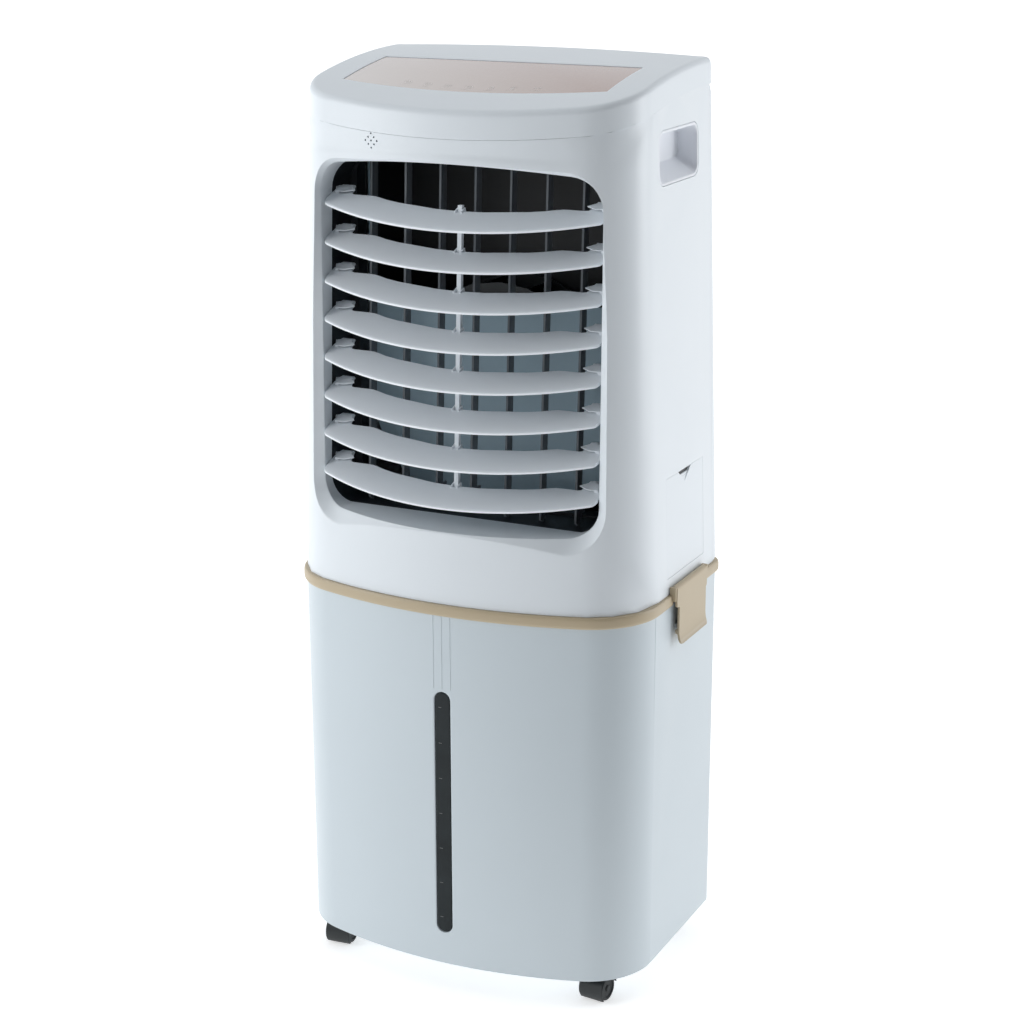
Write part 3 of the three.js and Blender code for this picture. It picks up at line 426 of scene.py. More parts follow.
class Nodes:
    """A node tree with shorthands."""

    def __init__(self, tree, coordinates):
        self.tree = tree
        self.coordinates = self.node("ShaderNodeTexCoord").outputs[coordinates]

    def node(self, kind, **settings):
        made = self.tree.nodes.new(kind)
        for key, value in settings.items():
            setattr(made, key, value)
        return made

    def feed(self, value, socket):
        """Links another node's output to a socket, or sets a constant on it."""
        if isinstance(value, bpy.types.NodeSocket):
            self.tree.links.new(value, socket)
        else:
            socket.default_value = value

    def along(self, axis):
        split = self.node("ShaderNodeSeparateXYZ")
        self.feed(self.coordinates, split.inputs[0])
        return split.outputs[axis]

    def compute(self, operation, *values, kind="ShaderNodeMath", **settings):
        made = self.node(kind, operation=operation, **settings)
        for value, socket in zip(values, made.inputs):
            self.feed(value, socket)
        return made.outputs["Value"]

    def noise(self, scale, detail=3.0, stretch=None):
        """Noise with features about 1/scale metres wide."""
        noise = self.node("ShaderNodeTexNoise")
        self.feed(scale, noise.inputs["Scale"])
        self.feed(detail, noise.inputs["Detail"])
        source = self.coordinates
        if stretch:
            mapping = self.node("ShaderNodeMapping")
            self.feed(stretch, mapping.inputs["Scale"])
            self.feed(source, mapping.inputs["Vector"])
            source = mapping.outputs["Vector"]
        self.feed(source, noise.inputs["Vector"])
        return noise.outputs["Fac"]

    def ramp(self, value, low, high, start=0.3, end=0.7):
        ramp = self.node("ShaderNodeMapRange")
        for given, socket in zip((value, start, end, low, high), ramp.inputs):
            self.feed(given, socket)
        return ramp.outputs["Result"]

    def mix(self, factor, a, b):
        """Colour a where factor is 0, b where it is 1."""
        mix = self.node("ShaderNodeMix", data_type="RGBA")
        self.feed(factor, mix.inputs["Factor"])
        self.feed(a, mix.inputs[6])
        self.feed(b, mix.inputs[7])
        return mix.outputs[2]

    def bump(self, height, distance, strength=1.0, under=None):
        bump = self.node("ShaderNodeBump")
        self.feed(distance, bump.inputs["Distance"])
        self.feed(strength, bump.inputs["Strength"])
        self.feed(height, bump.inputs["Height"])
        if under:
            self.feed(under, bump.inputs["Normal"])
        return bump.outputs["Normal"]


class Look(Nodes):
    """A material on its own nodes."""

    def __init__(self, name):
        self.material = bpy.data.materials.new(name)
        self.material.use_nodes = True
        super().__init__(self.material.node_tree, "Object")

    def paint(self, slot, colour, roughness, normal=None, **constants):
        """Feeds the shader; the slot that this look stands for is not used."""
        shader = self.tree.nodes["Principled BSDF"]
        self.feed(colour, shader.inputs["Base Color"])
        self.feed(roughness, shader.inputs["Roughness"])
        if normal:
            self.feed(normal, shader.inputs["Normal"])
        for key, value in constants.items():
            self.feed(value, shader.inputs[key.replace("_", " ")])
        return self.material


def moulded(name, colour, rough, slot=None, grain=0.00001, cloud=0.012, wear=0.25, grain_scale=1400.0,
            shade_painted_behind=None):
    """Moulded plastic; a slot, its own name if none is given, is passed on but not used.

    It has faint colour clouds, uneven polish, fine grain and rubbed edges; given a depth, it is painted
    near-black behind it, as shade.
    """
    look = Look(name)
    base = srgb(*colour)
    darker, lighter = toned(base, 1 - cloud * 2), toned(base, 1 + cloud)
    clouds = look.mix(look.ramp(look.noise(5.0, 2.0), 0.0, 1.0, 0.1, 0.9), darker, lighter)
    # Painted shade: behind the given depth the colour turns near-black, for the shade deep inside.
    if shade_painted_behind is not None:
        behind = look.ramp(look.along("Y"), 0.0, 1.0, shade_painted_behind, shade_painted_behind + 0.0004)
        clouds = look.mix(behind, clouds, srgb(12, 14, 18))
    edges = look.node("ShaderNodeNewGeometry").outputs["Pointiness"]
    rubbed = look.ramp(edges, 0.0, wear, 0.58, 0.75)
    worn = look.mix(rubbed, clouds, toned(base, 1.0, 0.35))
    polish = look.ramp(look.noise(12.0, 2.0), rough - 0.04, rough + 0.04, 0.1, 0.9)
    fine = look.bump(look.noise(grain_scale, 2.0), grain)
    waves = look.bump(look.noise(22.0, 1.0), 0.00004, 0.4, under=fine)
    return look.paint(slot or name, worn, polish, waves, Specular_IOR_Level=0.5)


def brushed_steel():
    look = Look("steel")
    streaks = look.noise(90.0, 4.0, stretch=(1.0, 1.0, 22.0))
    base = srgb(176, 180, 183)
    tone = look.mix(look.ramp(streaks, 0.0, 1.0), toned(base, 0.8), base)
    return look.paint("steel", tone, look.ramp(streaks, 0.22, 0.4), look.bump(streaks, 0.00001), Metallic=1.0)


def panel_glass():
    """Glossy champagne panel, with a painted highlight: paler at the left and the front, where the key light
    falls.
    """
    look = Look("rose_glass")
    # Painted highlight: the rose tint fades to pale towards the left and the front.
    across = look.ramp(look.along("X"), 0.0, 1.0, -0.17, 0.17)
    back = look.ramp(look.along("Y"), 0.0, 0.45, -0.08, 0.04)
    depth = look.compute("ADD", across, back, use_clamp=True)
    rose_with_painted_highlight = look.mix(depth, srgb(226, 218, 214), srgb(172, 142, 130))
    cloud = look.mix(look.ramp(look.noise(600.0, 3.0), 0.0, 0.12), rose_with_painted_highlight, srgb(232, 222, 214))
    return look.paint("rose_glass", cloud, look.ramp(look.noise(40.0), 0.10, 0.17),
                      look.bump(look.noise(30.0, 2.0), 0.00002), Coat_Weight=0.6, Coat_Roughness=0.06,
                      Metallic=0.15)


def smoke_window():
    """Dark tinted lens: glossy, with a faint lighter haze."""
    look = Look("smoke_window")
    haze = look.mix(look.ramp(look.noise(25.0), 0.0, 1.0), srgb(20, 28, 31), srgb(30, 38, 41))
    return look.paint("smoke_window", haze, look.ramp(look.noise(70.0), 0.10, 0.2),
                      look.bump(look.noise(45.0), 0.00002), Specular_IOR_Level=0.25)


def paper_pad():
    """Corrugated cellulose: slanting flutes in the bump, mottled fibre in the colour, and painted shade in
    the flute troughs.
    """
    look = Look("pad_paper")
    wave = look.node("ShaderNodeTexWave", wave_type="BANDS", bands_direction="DIAGONAL")
    for value, socket in ((28.0, "Scale"), (0.6, "Distortion"), (look.coordinates, "Vector")):
        look.feed(value, wave.inputs[socket])
    flutes = wave.outputs["Fac"]
    fibre = look.mix(look.ramp(look.noise(260.0, 5.0), 0.0, 1.0), srgb(58, 62, 56), srgb(84, 88, 78))
    # Painted shade: the colour is darkened in the flute troughs, where the bump is lowest.
    return look.paint("pad_paper", look.mix(flutes, srgb(30, 36, 32), fibre),
                      look.ramp(look.noise(200.0), 0.8, 0.98), look.bump(flutes, 0.003, 0.8))


def net_mesh():
    """Fine woven net of the dust filter."""
    look = Look("filter_mesh")
    thread = 2 * math.pi / 0.0022
    waves = [look.compute("SINE", look.compute("MULTIPLY", look.along(axis), thread)) for axis in ("X", "Z")]
    weave = look.ramp(look.compute("MAXIMUM", *waves), 0.0, 1.0, 0.2, 0.9)
    return look.paint("filter_mesh", look.mix(weave, srgb(12, 14, 15), srgb(72, 78, 82)),
                      look.ramp(look.noise(90.0), 0.55, 0.75), look.bump(weave, 0.0004, 0.8))


HEAD_WHITE = moulded("white_shell", (232, 238, 243), 0.34)
# Painted shade: the shell's white made darker on the tank, for the shade that falls on the lower body.
TANK_WHITE_SHADED = moulded("tank_white_painted_shade", (206, 216, 222), 0.32, "white_shell")
TAN = moulded("tan_trim", (190, 174, 146), 0.40, cloud=0.03)
ROSE = panel_glass()
PRINT = moulded("panel_print", (226, 222, 218), 0.35, "rose_glass")
LOUVRE_LOOK = moulded("louvre_grey", (242, 247, 252), 0.38)
DARK = moulded("dark_plastic", (24, 28, 33), 0.48, wear=0.2)
VANE_LOOK = moulded("vane_dark", (58, 66, 74), 0.42, "dark_plastic", wear=0.2)
# Painted shade: the blower housing turns near-black behind y = -6.7 mm, for the shade inside its mouth.
DUCT = moulded("duct_grey", (150, 172, 184), 0.5, shade_painted_behind=-0.0067)
HANDLE_LOOK = moulded("light_grey", (236, 239, 245), 0.38)
BLACK = moulded("black_plastic", (32, 37, 39), 0.45, wear=0.5)
SMOKE = smoke_window()
TYRE = moulded("wheel_black", (34, 38, 40), 0.6, grain=0.00006, grain_scale=700.0)
STEEL = brushed_steel()
PAD = paper_pad()
BOARD = moulded("circuit_board", (44, 92, 58), 0.45, cloud=0.1)
RUBBER = moulded("hose_rubber", (56, 60, 62), 0.75, grain=0.00005)
NET = net_mesh()

# ---------------- camera, floor and light
AIM = Vector((0.00774, 0.04525, 0.56013))
FLOOR_GLOW, SKY_LOW, SKY_HIGH, SHADE = 0.62, 0.84, 0.90, 0.05
DARK_SIDE = (0.62, -0.78, 0.0)  # where the right front corner faces: the studio is dark there
AZIMUTH, ELEVATION, DISTANCE = math.radians(25.235), math.radians(16.171), 2.80664


def camera():
    data = bpy.data.cameras.new("camera")
    data.sensor_width = 36.0
    data.lens = 80.506
    data.shift_x = -0.00816
    data.shift_y = -0.00512
    data.clip_end = 50.0
    obj = bpy.data.objects.new("camera", data)
    away = Vector((
        math.sin(AZIMUTH) * math.cos(ELEVATION),
        -math.cos(AZIMUTH) * math.cos(ELEVATION),
        math.sin(ELEVATION),
    ))
    obj.location = AIM + away * DISTANCE
    obj.rotation_euler = away.to_track_quat("Z", "Y").to_euler()
    bpy.context.scene.collection.objects.link(obj)
    bpy.context.scene.camera = obj


def softbox(name, place, aim, width, height, power, colour):
    data = bpy.data.lights.new(name, "AREA")
    data.shape = "RECTANGLE"
    data.size, data.size_y = width, height
    data.energy = power
    data.color = colour
    obj = bpy.data.objects.new(name, data)
    obj.location = place
    obj.rotation_euler = (Vector(place) - Vector(aim)).to_track_quat("Z", "Y").to_euler()
    bpy.context.scene.collection.objects.link(obj)


def floor():
    """Pale paper that glows evenly, a little more far away, and hardly at all on the dark side."""
    reach = 60.0
    mesh = bpy.data.meshes.new("floor")
    corners = [(-reach, -reach, 0.0), (reach, -reach, 0.0), (reach, reach, 0.0), (-reach, reach, 0.0)]
    mesh.from_pydata(corners, [], [(0, 1, 2, 3)])
    obj = bpy.data.objects.new("floor", mesh)
    bpy.context.scene.collection.objects.link(obj)
    look = Look("floor_paper")
    distance = look.compute("LENGTH", look.coordinates, kind="ShaderNodeVectorMath")
    far = look.ramp(distance, FLOOR_GLOW, FLOOR_GLOW + 0.3, 1.2, 4.0)
    towards = look.compute("DOT_PRODUCT", look.coordinates, DARK_SIDE, kind="ShaderNodeVectorMath")
    glow = look.compute("MULTIPLY", far, look.ramp(towards, 1.0, 0.1, 0.55, 1.0))
    paper = look.mix(look.ramp(look.noise(2.0), 0.0, 1.0), (0.86, 0.86, 0.86, 1), (0.88, 0.88, 0.88, 1))
    mesh.materials.append(look.paint(None, paper, 0.95, Emission_Color=paper, Emission_Strength=glow,
                                     Specular_IOR_Level=0.0))


def sky():
    """Pale and nearly even, a little brighter overhead, but dark on the dark side."""
    world = bpy.data.worlds.new("studio")
    world.use_nodes = True
    nodes = Nodes(world.node_tree, "Generated")
    height = nodes.ramp(nodes.along("Z"), SKY_LOW, SKY_HIGH, 0.05, 0.8)
    facing = nodes.compute("DOT_PRODUCT", nodes.coordinates, DARK_SIDE, kind="ShaderNodeVectorMath")
    strength = nodes.compute("MULTIPLY", height, nodes.ramp(facing, 1.0, SHADE, -0.1, 0.75))
    background = world.node_tree.nodes["Background"]
    nodes.feed((0.95, 0.975, 1.0, 1.0), background.inputs["Color"])
    nodes.feed(strength, background.inputs["Strength"])
    bpy.context.scene.world = world


def studio():
    floor()
    sky()
    softbox("key", (-2.6, -2.4, 1.6), (0.0, 0.0, 0.7), 1.8, 2.4, 39.0, (0.97, 0.99, 1.0))
    softbox("side", (3.0, 1.9, 1.2), (0.2, 0.0, 0.6), 1.4, 2.2, 32.0, (0.97, 0.985, 1.0))
    view = bpy.context.scene.view_settings
    view.view_transform = "Standard"
    view.exposure = 0.0


camera()
studio()


# ---------------- head: front shell
OUTLET_MIDDLE, OUTLET_TALL = middle_and_half(OUTLET["low"], OUTLET["high"])
OUTLET_OPENING = Opening(OUTLET["half"], OUTLET_TALL, OUTLET["corner"], OUTLET_MIDDLE, (34, 36, 8))
FLAT_START = CORNER_END + 6.0  # just past the front corner, on the flat side
SEAM_TOP = 1072.0  # height of the seam's upper end on the sides
HANDLE = {"y": 39.7, "z": 1004.0, "half": 61.5, "high": 31.3, "corner": 15.0}
DOOR = {"y0": -10.6, "y1": 107.6, "z0": 514.0, "z1": float(span("fill_door")[1][2])}


def on_side(yz, side, depth=0.0):
    """Points given as (y, z), laid on the flat side wall."""
    yz = np.asarray(yz, float)
    x = side * (measure("half", yz[:, 1]) - depth)
    return np.stack([x, yz[:, 0], yz[:, 1]], -1)


def handle_mouth(inset):
    sizes = (HANDLE[key] - inset for key in ("half", "high", "corner"))
    return rounded_rect(HANDLE["y"], HANDLE["z"], *sizes)


def door_outline(grow):
    y0, y1, z0, z1 = DOOR["y0"] - grow, DOOR["y1"] + grow, DOOR["z0"] - grow, DOOR["z1"] + grow
    return [(y0, z0), (y1, z0), (y1, z1), (y0, z1)]


def outlet_xz(grow):
    """The outlet's outline, with its bowed top and bottom edges, moved outwards by grow."""
    x, z = OUTLET_OPENING.xz(grow)
    above = z - OUTLET_MIDDLE
    bow = np.where(above > 0, ARCH_HIGH, ARCH_LOW) * x ** 2 * np.clip(np.abs(above) / 100.0, 0, 1)
    return x, z + bow


def outlet_rim():
    """The rim's line: it bows more tightly than the front and so lies deeper at the sides."""
    x, z = outlet_xz(0.0)
    across = np.minimum(np.abs(x), OUTLET["half"])
    y = measure("front", z) + 1.0 + RIM_RADIUS - np.sqrt(RIM_RADIUS ** 2 - across ** 2)
    return np.stack([x, y, z], -1)


def outlet_bevel():
    """How far out the bevel from the rim reaches before it meets the skin; it narrows near the top."""
    rim = outlet_rim()
    grow = np.zeros(len(rim))
    for _ in range(12):
        x, z = outlet_xz(grow)
        meets = (rim[:, 1] - skin(s_front(x, z), z)[:, 1]) / BEVEL_SLOPE
        grow = 0.5 * grow + 0.5 * np.clip(meets, 1.2, 30.0)
    rise = np.clip((outlet_xz(0.0)[1] - NARROW_FROM) / (NARROW_TO - NARROW_FROM), 0, 1)
    return grow * (1 - 0.6 * rise ** 2 * (3 - 2 * rise))


def outlet_seam(drop=0.0):
    """Where the recess in the shell ends and the duct begins, on a plane that leans back."""
    x, z = outlet_xz(0.0)
    z = np.where(z < OUTLET["low"] + 8.0, np.maximum(z, OUTLET["sill"]), z)
    y = SEAM_Y + drop + (z - SEAM_Z) * LEAN
    return np.stack([x * 0.996, y, z], -1)


def crease(s, z):
    """The soft step that crosses the front above the outlet and fades out towards the right."""
    fade = np.clip((205.0 - s) / 120.0, 0, 1) * np.clip((s + 260.0) / 40.0, 0, 1)
    middle = 1010.0 - 0.00011 * s ** 2
    step = 1 / (1 + np.exp(-(z - middle) / 1.1))
    back = np.clip((1032.0 - z) / 18.0, 0, 1)
    return 0.9 * fade * step * back


def front_shell():
    shape = Shape()
    rim, seam, grow = outlet_rim(), outlet_seam(), outlet_bevel()
    x, z = outlet_xz(grow)
    outer = skin(s_front(x, z), z)
    outer[:, 0] = x
    lip = sunk(rim, 1.1)
    loops = [seam, lerp(lip, seam, 0.66), lerp(lip, seam, 0.33), lip, sunk(rim, 0.35)]
    for t, depth in ((0.03, 0.1), (0.1, 0.0), (0.35, 0.15), (0.65, 0.15), (0.9, 0.0), (1.0, 0.12)):
        loops.append(sunk(lerp(rim, outer, t), depth))
    start_x, start_z = outlet_xz(grow + 1.6)
    start_s = s_front(start_x, start_z)
    anchor_s = s_front(OUTLET_OPENING.anchors[:, 0], OUTLET_OPENING.anchor_z)
    high = lambda s: crown(s, UNDER_COVER)[:, 2]
    end_s, end_z = OUTLET_OPENING.border(anchor_s, FLAT_START, HEAD_LOW, high)
    for t in np.linspace(0, 1, 17):
        s, z = lerp(start_s, end_s, t), lerp(start_z, end_z, t)
        loops.append(sunk(skin(s, z), crease(s, z)))
    shape.loft(loops)
    seam_s = np.linspace(FLAT_START, float(s_side(HEAD_SEAM, SEAM_TOP)), 14)[1:]
    for side in (1, -1):
        column = np.where(np.isclose(end_s, side * FLAT_START))[0]
        column = column[np.argsort(end_z[column])]
        edge = skin(end_s[column], end_z[column])
        top = crown(seam_s, UNDER_COVER)
        top[:, 0] *= side
        top[-1, 1] = HEAD_SEAM
        bottom = np.array([[measure("half", HEAD_LOW) * side, HEAD_SEAM, HEAD_LOW]])
        holes = [on_side(handle_mouth(0.0), side)]
        if side > 0:
            holes.append(on_side(door_outline(0.2), side))
        shape.fill(np.concatenate([edge, top, bottom]), *holes)
    stand_in("front_shell", shape, HEAD_WHITE, "head", thick=WALL, soften=SEAM_TUCK, cut=buzzer_holes())


def buzzer_holes():
    """Nine small holes, in a diamond, for a boolean cut."""
    shape = Shape()
    x, z, step = -90.0, 1022.3, 4.0
    for row in range(-2, 3):
        count = 3 - abs(row)
        for i in range(count):
            across = (i - (count - 1) / 2) * 2 * step
            shape.rod("y", 1.2, -165.0, -128.0, (x + across, z + row * step), 12)
    return bpy.data.objects.new("holes", mesh_of("holes", shape))


# ---------------- head: rear shell, grille, filter
GRILLE_LOW, GRILLE_HIGH = (corner.tolist() for corner in span("rear_grille"))
GRILLE_GAP = 0.6
GRILLE_HALF = GRILLE_HIGH[0] + GRILLE_GAP
GRILLE_MIDDLE, GRILLE_TALL = middle_and_half(GRILLE_LOW[2], GRILLE_HIGH[2])
GRILLE_TALL += GRILLE_GAP


def rear_shell():
    shape = Shape()
    opening = Opening(GRILLE_HALF, GRILLE_TALL, 12.0, GRILLE_MIDDLE, (24, 20, 6))
    edge = ((0.0, 14.0), (0.0, 8.0), (0.0, 1.6), (0.4, 0.8), (1.2, 0.25), (2.4, 0.0))
    loops = [opening.on_skin(s_back, grow, -depth) for grow, depth in edge]
    start_x, start_z = opening.xz(2.4)
    start = LOOP_HALF - s_back(start_x, start_z)
    anchor = LOOP_HALF - s_back(opening.anchors[:, 0], opening.anchor_z)
    reach = LOOP_HALF - float(s_side(REAR_SEAM, 1000.0))
    high = lambda s: crown(LOOP_HALF - s, UNDER_COVER)[:, 2]
    end, end_z = opening.border(anchor, reach, HEAD_LOW, high)
    for t in np.linspace(0, 1, 20)[1:]:
        loops.append(skin(LOOP_HALF - lerp(start, end, t), lerp(start_z, end_z, t)))
    loops[-1][np.isclose(np.abs(end), reach), 1] = REAR_SEAM
    shape.loft(loops)
    stand_in("rear_shell", shape, HEAD_WHITE, "head", thick=WALL, soften=SEAM_TUCK)


def rear_grille():
    shape = Shape()
    front, back = GRILLE_LOW[1], GRILLE_HIGH[1]
    rings = (
        (0.6, front, 11.4), (0.6, back - 1.2, 11.4), (1.0, back - 0.35, 11.0), (1.9, back, 10.1),
        (12.0, back, 5.0), (13.2, back - 0.4, 4.0), (14.0, back - 1.6, 3.4), (14.0, front, 3.4),
        (0.6, front, 11.4),
    )
    shape.loft([upright(rounded_rect(0, GRILLE_MIDDLE, GRILLE_HALF - inset, GRILLE_TALL - inset, corner), y)
                for inset, y, corner in rings])
    inner_x, inner_z = GRILLE_HALF - 13.0, GRILLE_TALL - 13.0
    slats = 37
    slat = ((front + 0.8, 1.6), (front + 1.2, 2.4), (back - 1.3, -1.1), (back - 0.8, -2.1),
            (back - 1.2, -2.7), (back - 1.8, -2.4))
    for i in range(slats):
        z = GRILLE_MIDDLE + (i - (slats - 1) / 2) * (2 * inner_z / slats)
        shape.loft([[(x, y, z + up) for y, up in slat] for x in (-inner_x, inner_x)], caps=True)
    for x in (-inner_x / 2, 0.0, inner_x / 2):
        shape.box(x - 2.0, x + 2.0, front + 0.8, back - 0.6, GRILLE_MIDDLE - inner_z, GRILLE_MIDDLE + inner_z)
    # A finger pull at the top of the frame.
    level = GRILLE_MIDDLE + GRILLE_TALL - 7.4
    pull = upright(rounded_rect(0, level, 26.0, 3.4, 3.2, 6), back + 0.15)
    bottom = upright(np.stack([pull[:, 0] * 0.94, lerp(level, pull[:, 2], 0.7)], -1), back - 0.9)
    shape.loft([pull, bottom], caps=True)
    stand_in("rear_grille", shape, HEAD_WHITE, "rear_grille")
    softened("dust_filter", NET, 0.3)


# ---------------- head: top cover and panel
PANEL = {"half": 165.0, "back": 42.75, "front": -61.25, "bow": 23.0}
FRONT_TURN = (BOW_END + CORNER_END) / 2
BACK_TURN = (BACK_START + BACK_END) / 2


def crown_stations():
    """Places along the outline, closer together round the corners."""
    ends = (0, BOW_END, CORNER_END, BACK_START, BACK_END, LOOP_HALF)
    stops = [np.linspace(*run) for run in zip(ends, ends[1:], (13, 19, 13, 9, 11))]
    right = np.unique(np.concatenate(stops + [[FRONT_TURN, BACK_TURN]]))
    return np.concatenate([right, -right[1:-1][::-1]])


def panel_outline(s, grow):
    """The panel's plan outline, point for point with the body's outline."""
    half, back = PANEL["half"] + grow, PANEL["back"] + grow
    front, bow = PANEL["front"] - grow, PANEL["bow"]
    radius = (half ** 2 + bow ** 2) / (2 * bow)
    a, side = np.abs(s), np.where(s < 0, -1.0, 1.0)
    x_front = half * a / FRONT_TURN
    y_front = front - bow + radius - np.sqrt(radius ** 2 - np.minimum(x_front, half) ** 2)
    t_side = (a - FRONT_TURN) / (BACK_TURN - FRONT_TURN)
    x_back = half * (LOOP_HALF - a) / (LOOP_HALF - BACK_TURN)
    on_front, on_flank = a <= FRONT_TURN, a <= BACK_TURN
    x = np.where(on_front, x_front, np.where(on_flank, half, x_back))
    y = np.where(on_front, y_front, np.where(on_flank, lerp(front, back, t_side), back))
    return np.stack([side * x, y], -1)


def on_top(xy, drop):
    xy = np.asarray(xy, float)
    return np.column_stack([xy, top_z(xy[:, 0], xy[:, 1]) - drop])


def top_cover():
    shape = Shape()
    s = crown_stations()
    r = lerp(6.5, 14.0, np.clip((np.abs(s) - BACK_START) / (BACK_END - BACK_START), 0, 1))
    loops = [crown(s, COVER_DEPTH), crown(s, 25.0), crown(s, 19.0), crown(s, r + 0.8)]
    for angle in np.radians(np.linspace(8, 90, 8)):
        loops.append(crown(s, r * (1 - math.sin(angle)), r * (1 - math.cos(angle))))
    rim, near = loops[-1][:, :2], panel_outline(s, 2.0)
    for t in (0.12, 0.28, 0.46, 0.64, 0.8, 0.92, 1.0):
        loops.append(on_top(lerp(rim, near, t), 0.0))
    for grow, drop in ((0.7, 0.04), (0.0, 0.35), (0.0, 3.3)):
        loops.append(on_top(panel_outline(s, grow), drop))
    shape.loft(loops)
    stand_in("top_cover", shape, HEAD_WHITE, "head", thick=WALL - 0.2, soften=SEAM_TUCK)


def cover_lip():
    """A lip inside the head that stands almost flush in the seam under the cover, along the sides."""
    shape = Shape()
    for side in (1, -1):
        s = side * np.linspace(FLAT_START + 4.0, BACK_START - 6.0, 24)
        section = ((-1.6, 0.9), (-0.9, 0.12), (1.2, 0.12), (1.9, 0.9))
        shape.loft([crown(s, COVER_DEPTH + down, inset) for down, inset in section], closed=False)
    piece("cover_lip", shape, HEAD_WHITE, "head", slot="white_shell", thick=0.8)


def control_panel():
    shape = Shape()
    s = crown_stations()
    edge = ((-0.4, 3.0), (-0.4, 1.2), (-0.55, 0.9), (-1.0, 0.8))
    loops = [on_top(panel_outline(s, grow), drop) for grow, drop in edge]
    flat, middle = panel_outline(s, -1.0), np.array([0.0, -8.0])
    for t in (0.12, 0.3, 0.5, 0.7, 0.88):
        loops.append(on_top(lerp(flat, middle, t), 0.8))
    shape.loft(loops, caps=True)
    stand_in("control_panel", shape, ROSE, "head")


# The touch symbols: arcs as (x, y, outer, inner, start, end, steps), strokes as (x0, y0, x1, y1, wide).
SYMBOLS = (
    ([(0, 0, 4.2, 3.5, 120, 420)], [(0, 1, 0, 5, 0.8)]),
    ([(0, 0, 4.6, 3.9, 90 + turn, 175 + turn, 8) for turn in (0, 120, 240)] + [(0, 0, 1.3, 0.4)], []),
    ([], [(-4, up, 4, up, 0.8) for up in (-3, 0, 3)]),
    ([(0, 0, 4.2, 3.5)], [(0, 0, 0, 2.8, 0.7), (0, 0, 2, 0, 0.7)]),
    ([(0, -1.2, 3, 2.3, 150, 390)], [(-2.4, 0, 0, 4.6, 0.7), (2.4, 0, 0, 4.6, 0.7)]),
    ([(0, 0, 4.2, 3.5, 60, 300), (2.2, 0, 3.7, 3.1, 90, 270)], []),
    ([], [(-4, 0, 4, 0, 0.8), (4, 0, 1.6, 2.2, 0.8), (-4, 0, -1.6, -2.2, 0.8)]),
)
SYMBOL_BAR = (-5, -8, 5, -8, 0.5)
PRINT_DROP = 0.72  # the print lies this far under the top, just proud of the panel


def ring_flat(shape, x, y, outer, inner, start=0.0, end=360.0, steps=20):
    """A thin printed arc on the panel."""
    arcs = (arc(x, y, radius, start, end, steps) for radius in (outer, inner))
    shape.loft([on_top(line, PRINT_DROP) for line in arcs], closed=False)


def stroke(shape, x0, y0, x1, y1, wide):
    """A thin printed line on the panel."""
    p, q = np.array([x0, y0]), np.array([x1, y1])
    along = q - p
    across = np.array([-along[1], along[0]]) / np.hypot(*along) * wide / 2
    shape.loft([on_top([end + across, end - across], PRINT_DROP) for end in (p, q)], closed=False)


def panel_print():
    """A row of plain touch symbols near the front edge, each over a short bar."""
    shape = Shape()
    for i, (arcs, strokes) in enumerate(SYMBOLS):
        x = (i - (len(SYMBOLS) - 1) / 2) * 27.0
        y = -53.0 - 14.0 * (1 - (x / 110.0) ** 2)
        for dx, dy, *sizes in arcs:
            ring_flat(shape, x + dx, y + dy, *sizes)
        for x0, y0, x1, y1, wide in (*strokes, SYMBOL_BAR):
            stroke(shape, x + x0, y + y0, x + x1, y + y1, wide)
    bmesh.ops.recalc_face_normals(shape.bm, faces=shape.bm.faces)
    piece("panel_symbols", shape, PRINT, "head", slot="rose_glass", thick=0.06)


# ---------------- head: handles and fill door
def handle_cup(side, place):
    """A finger recess: sloping front wall, floor that runs out, and a back set high and rearward."""
    shape = Shape()
    centre = np.array([60.0, 1010.0])
    back = rounded_rect(*centre, 35.5, 17.0, 10.0)
    rim = ((0.4, 3.0), (0.4, 0.7), (0.65, 0.25), (1.2, 0.05), (3.0, 0.1), (3.8, 0.5), (4.3, 1.4))
    loops = [on_side(handle_mouth(inset), side, depth) for inset, depth in rim]
    for t, depth in ((0.1, 4.0), (0.4, 10.5), (0.7, 16.8), (0.9, 21.2), (0.97, 22.6), (1.03, 23.3)):
        loops.append(on_side(lerp(handle_mouth(4.3), back, t), side, depth))
    small = lerp(back, centre, 0.12)
    last = on_side(lerp(small, centre, 0.6), side, 23.6)
    shape.loft([*loops, on_side(small, side, 23.6), last])
    shape.face(shape.verts(last))
    stand_in(f"handle_cup_{place}", shape, HANDLE_LOOK, "head", thick=THIN_WALL)


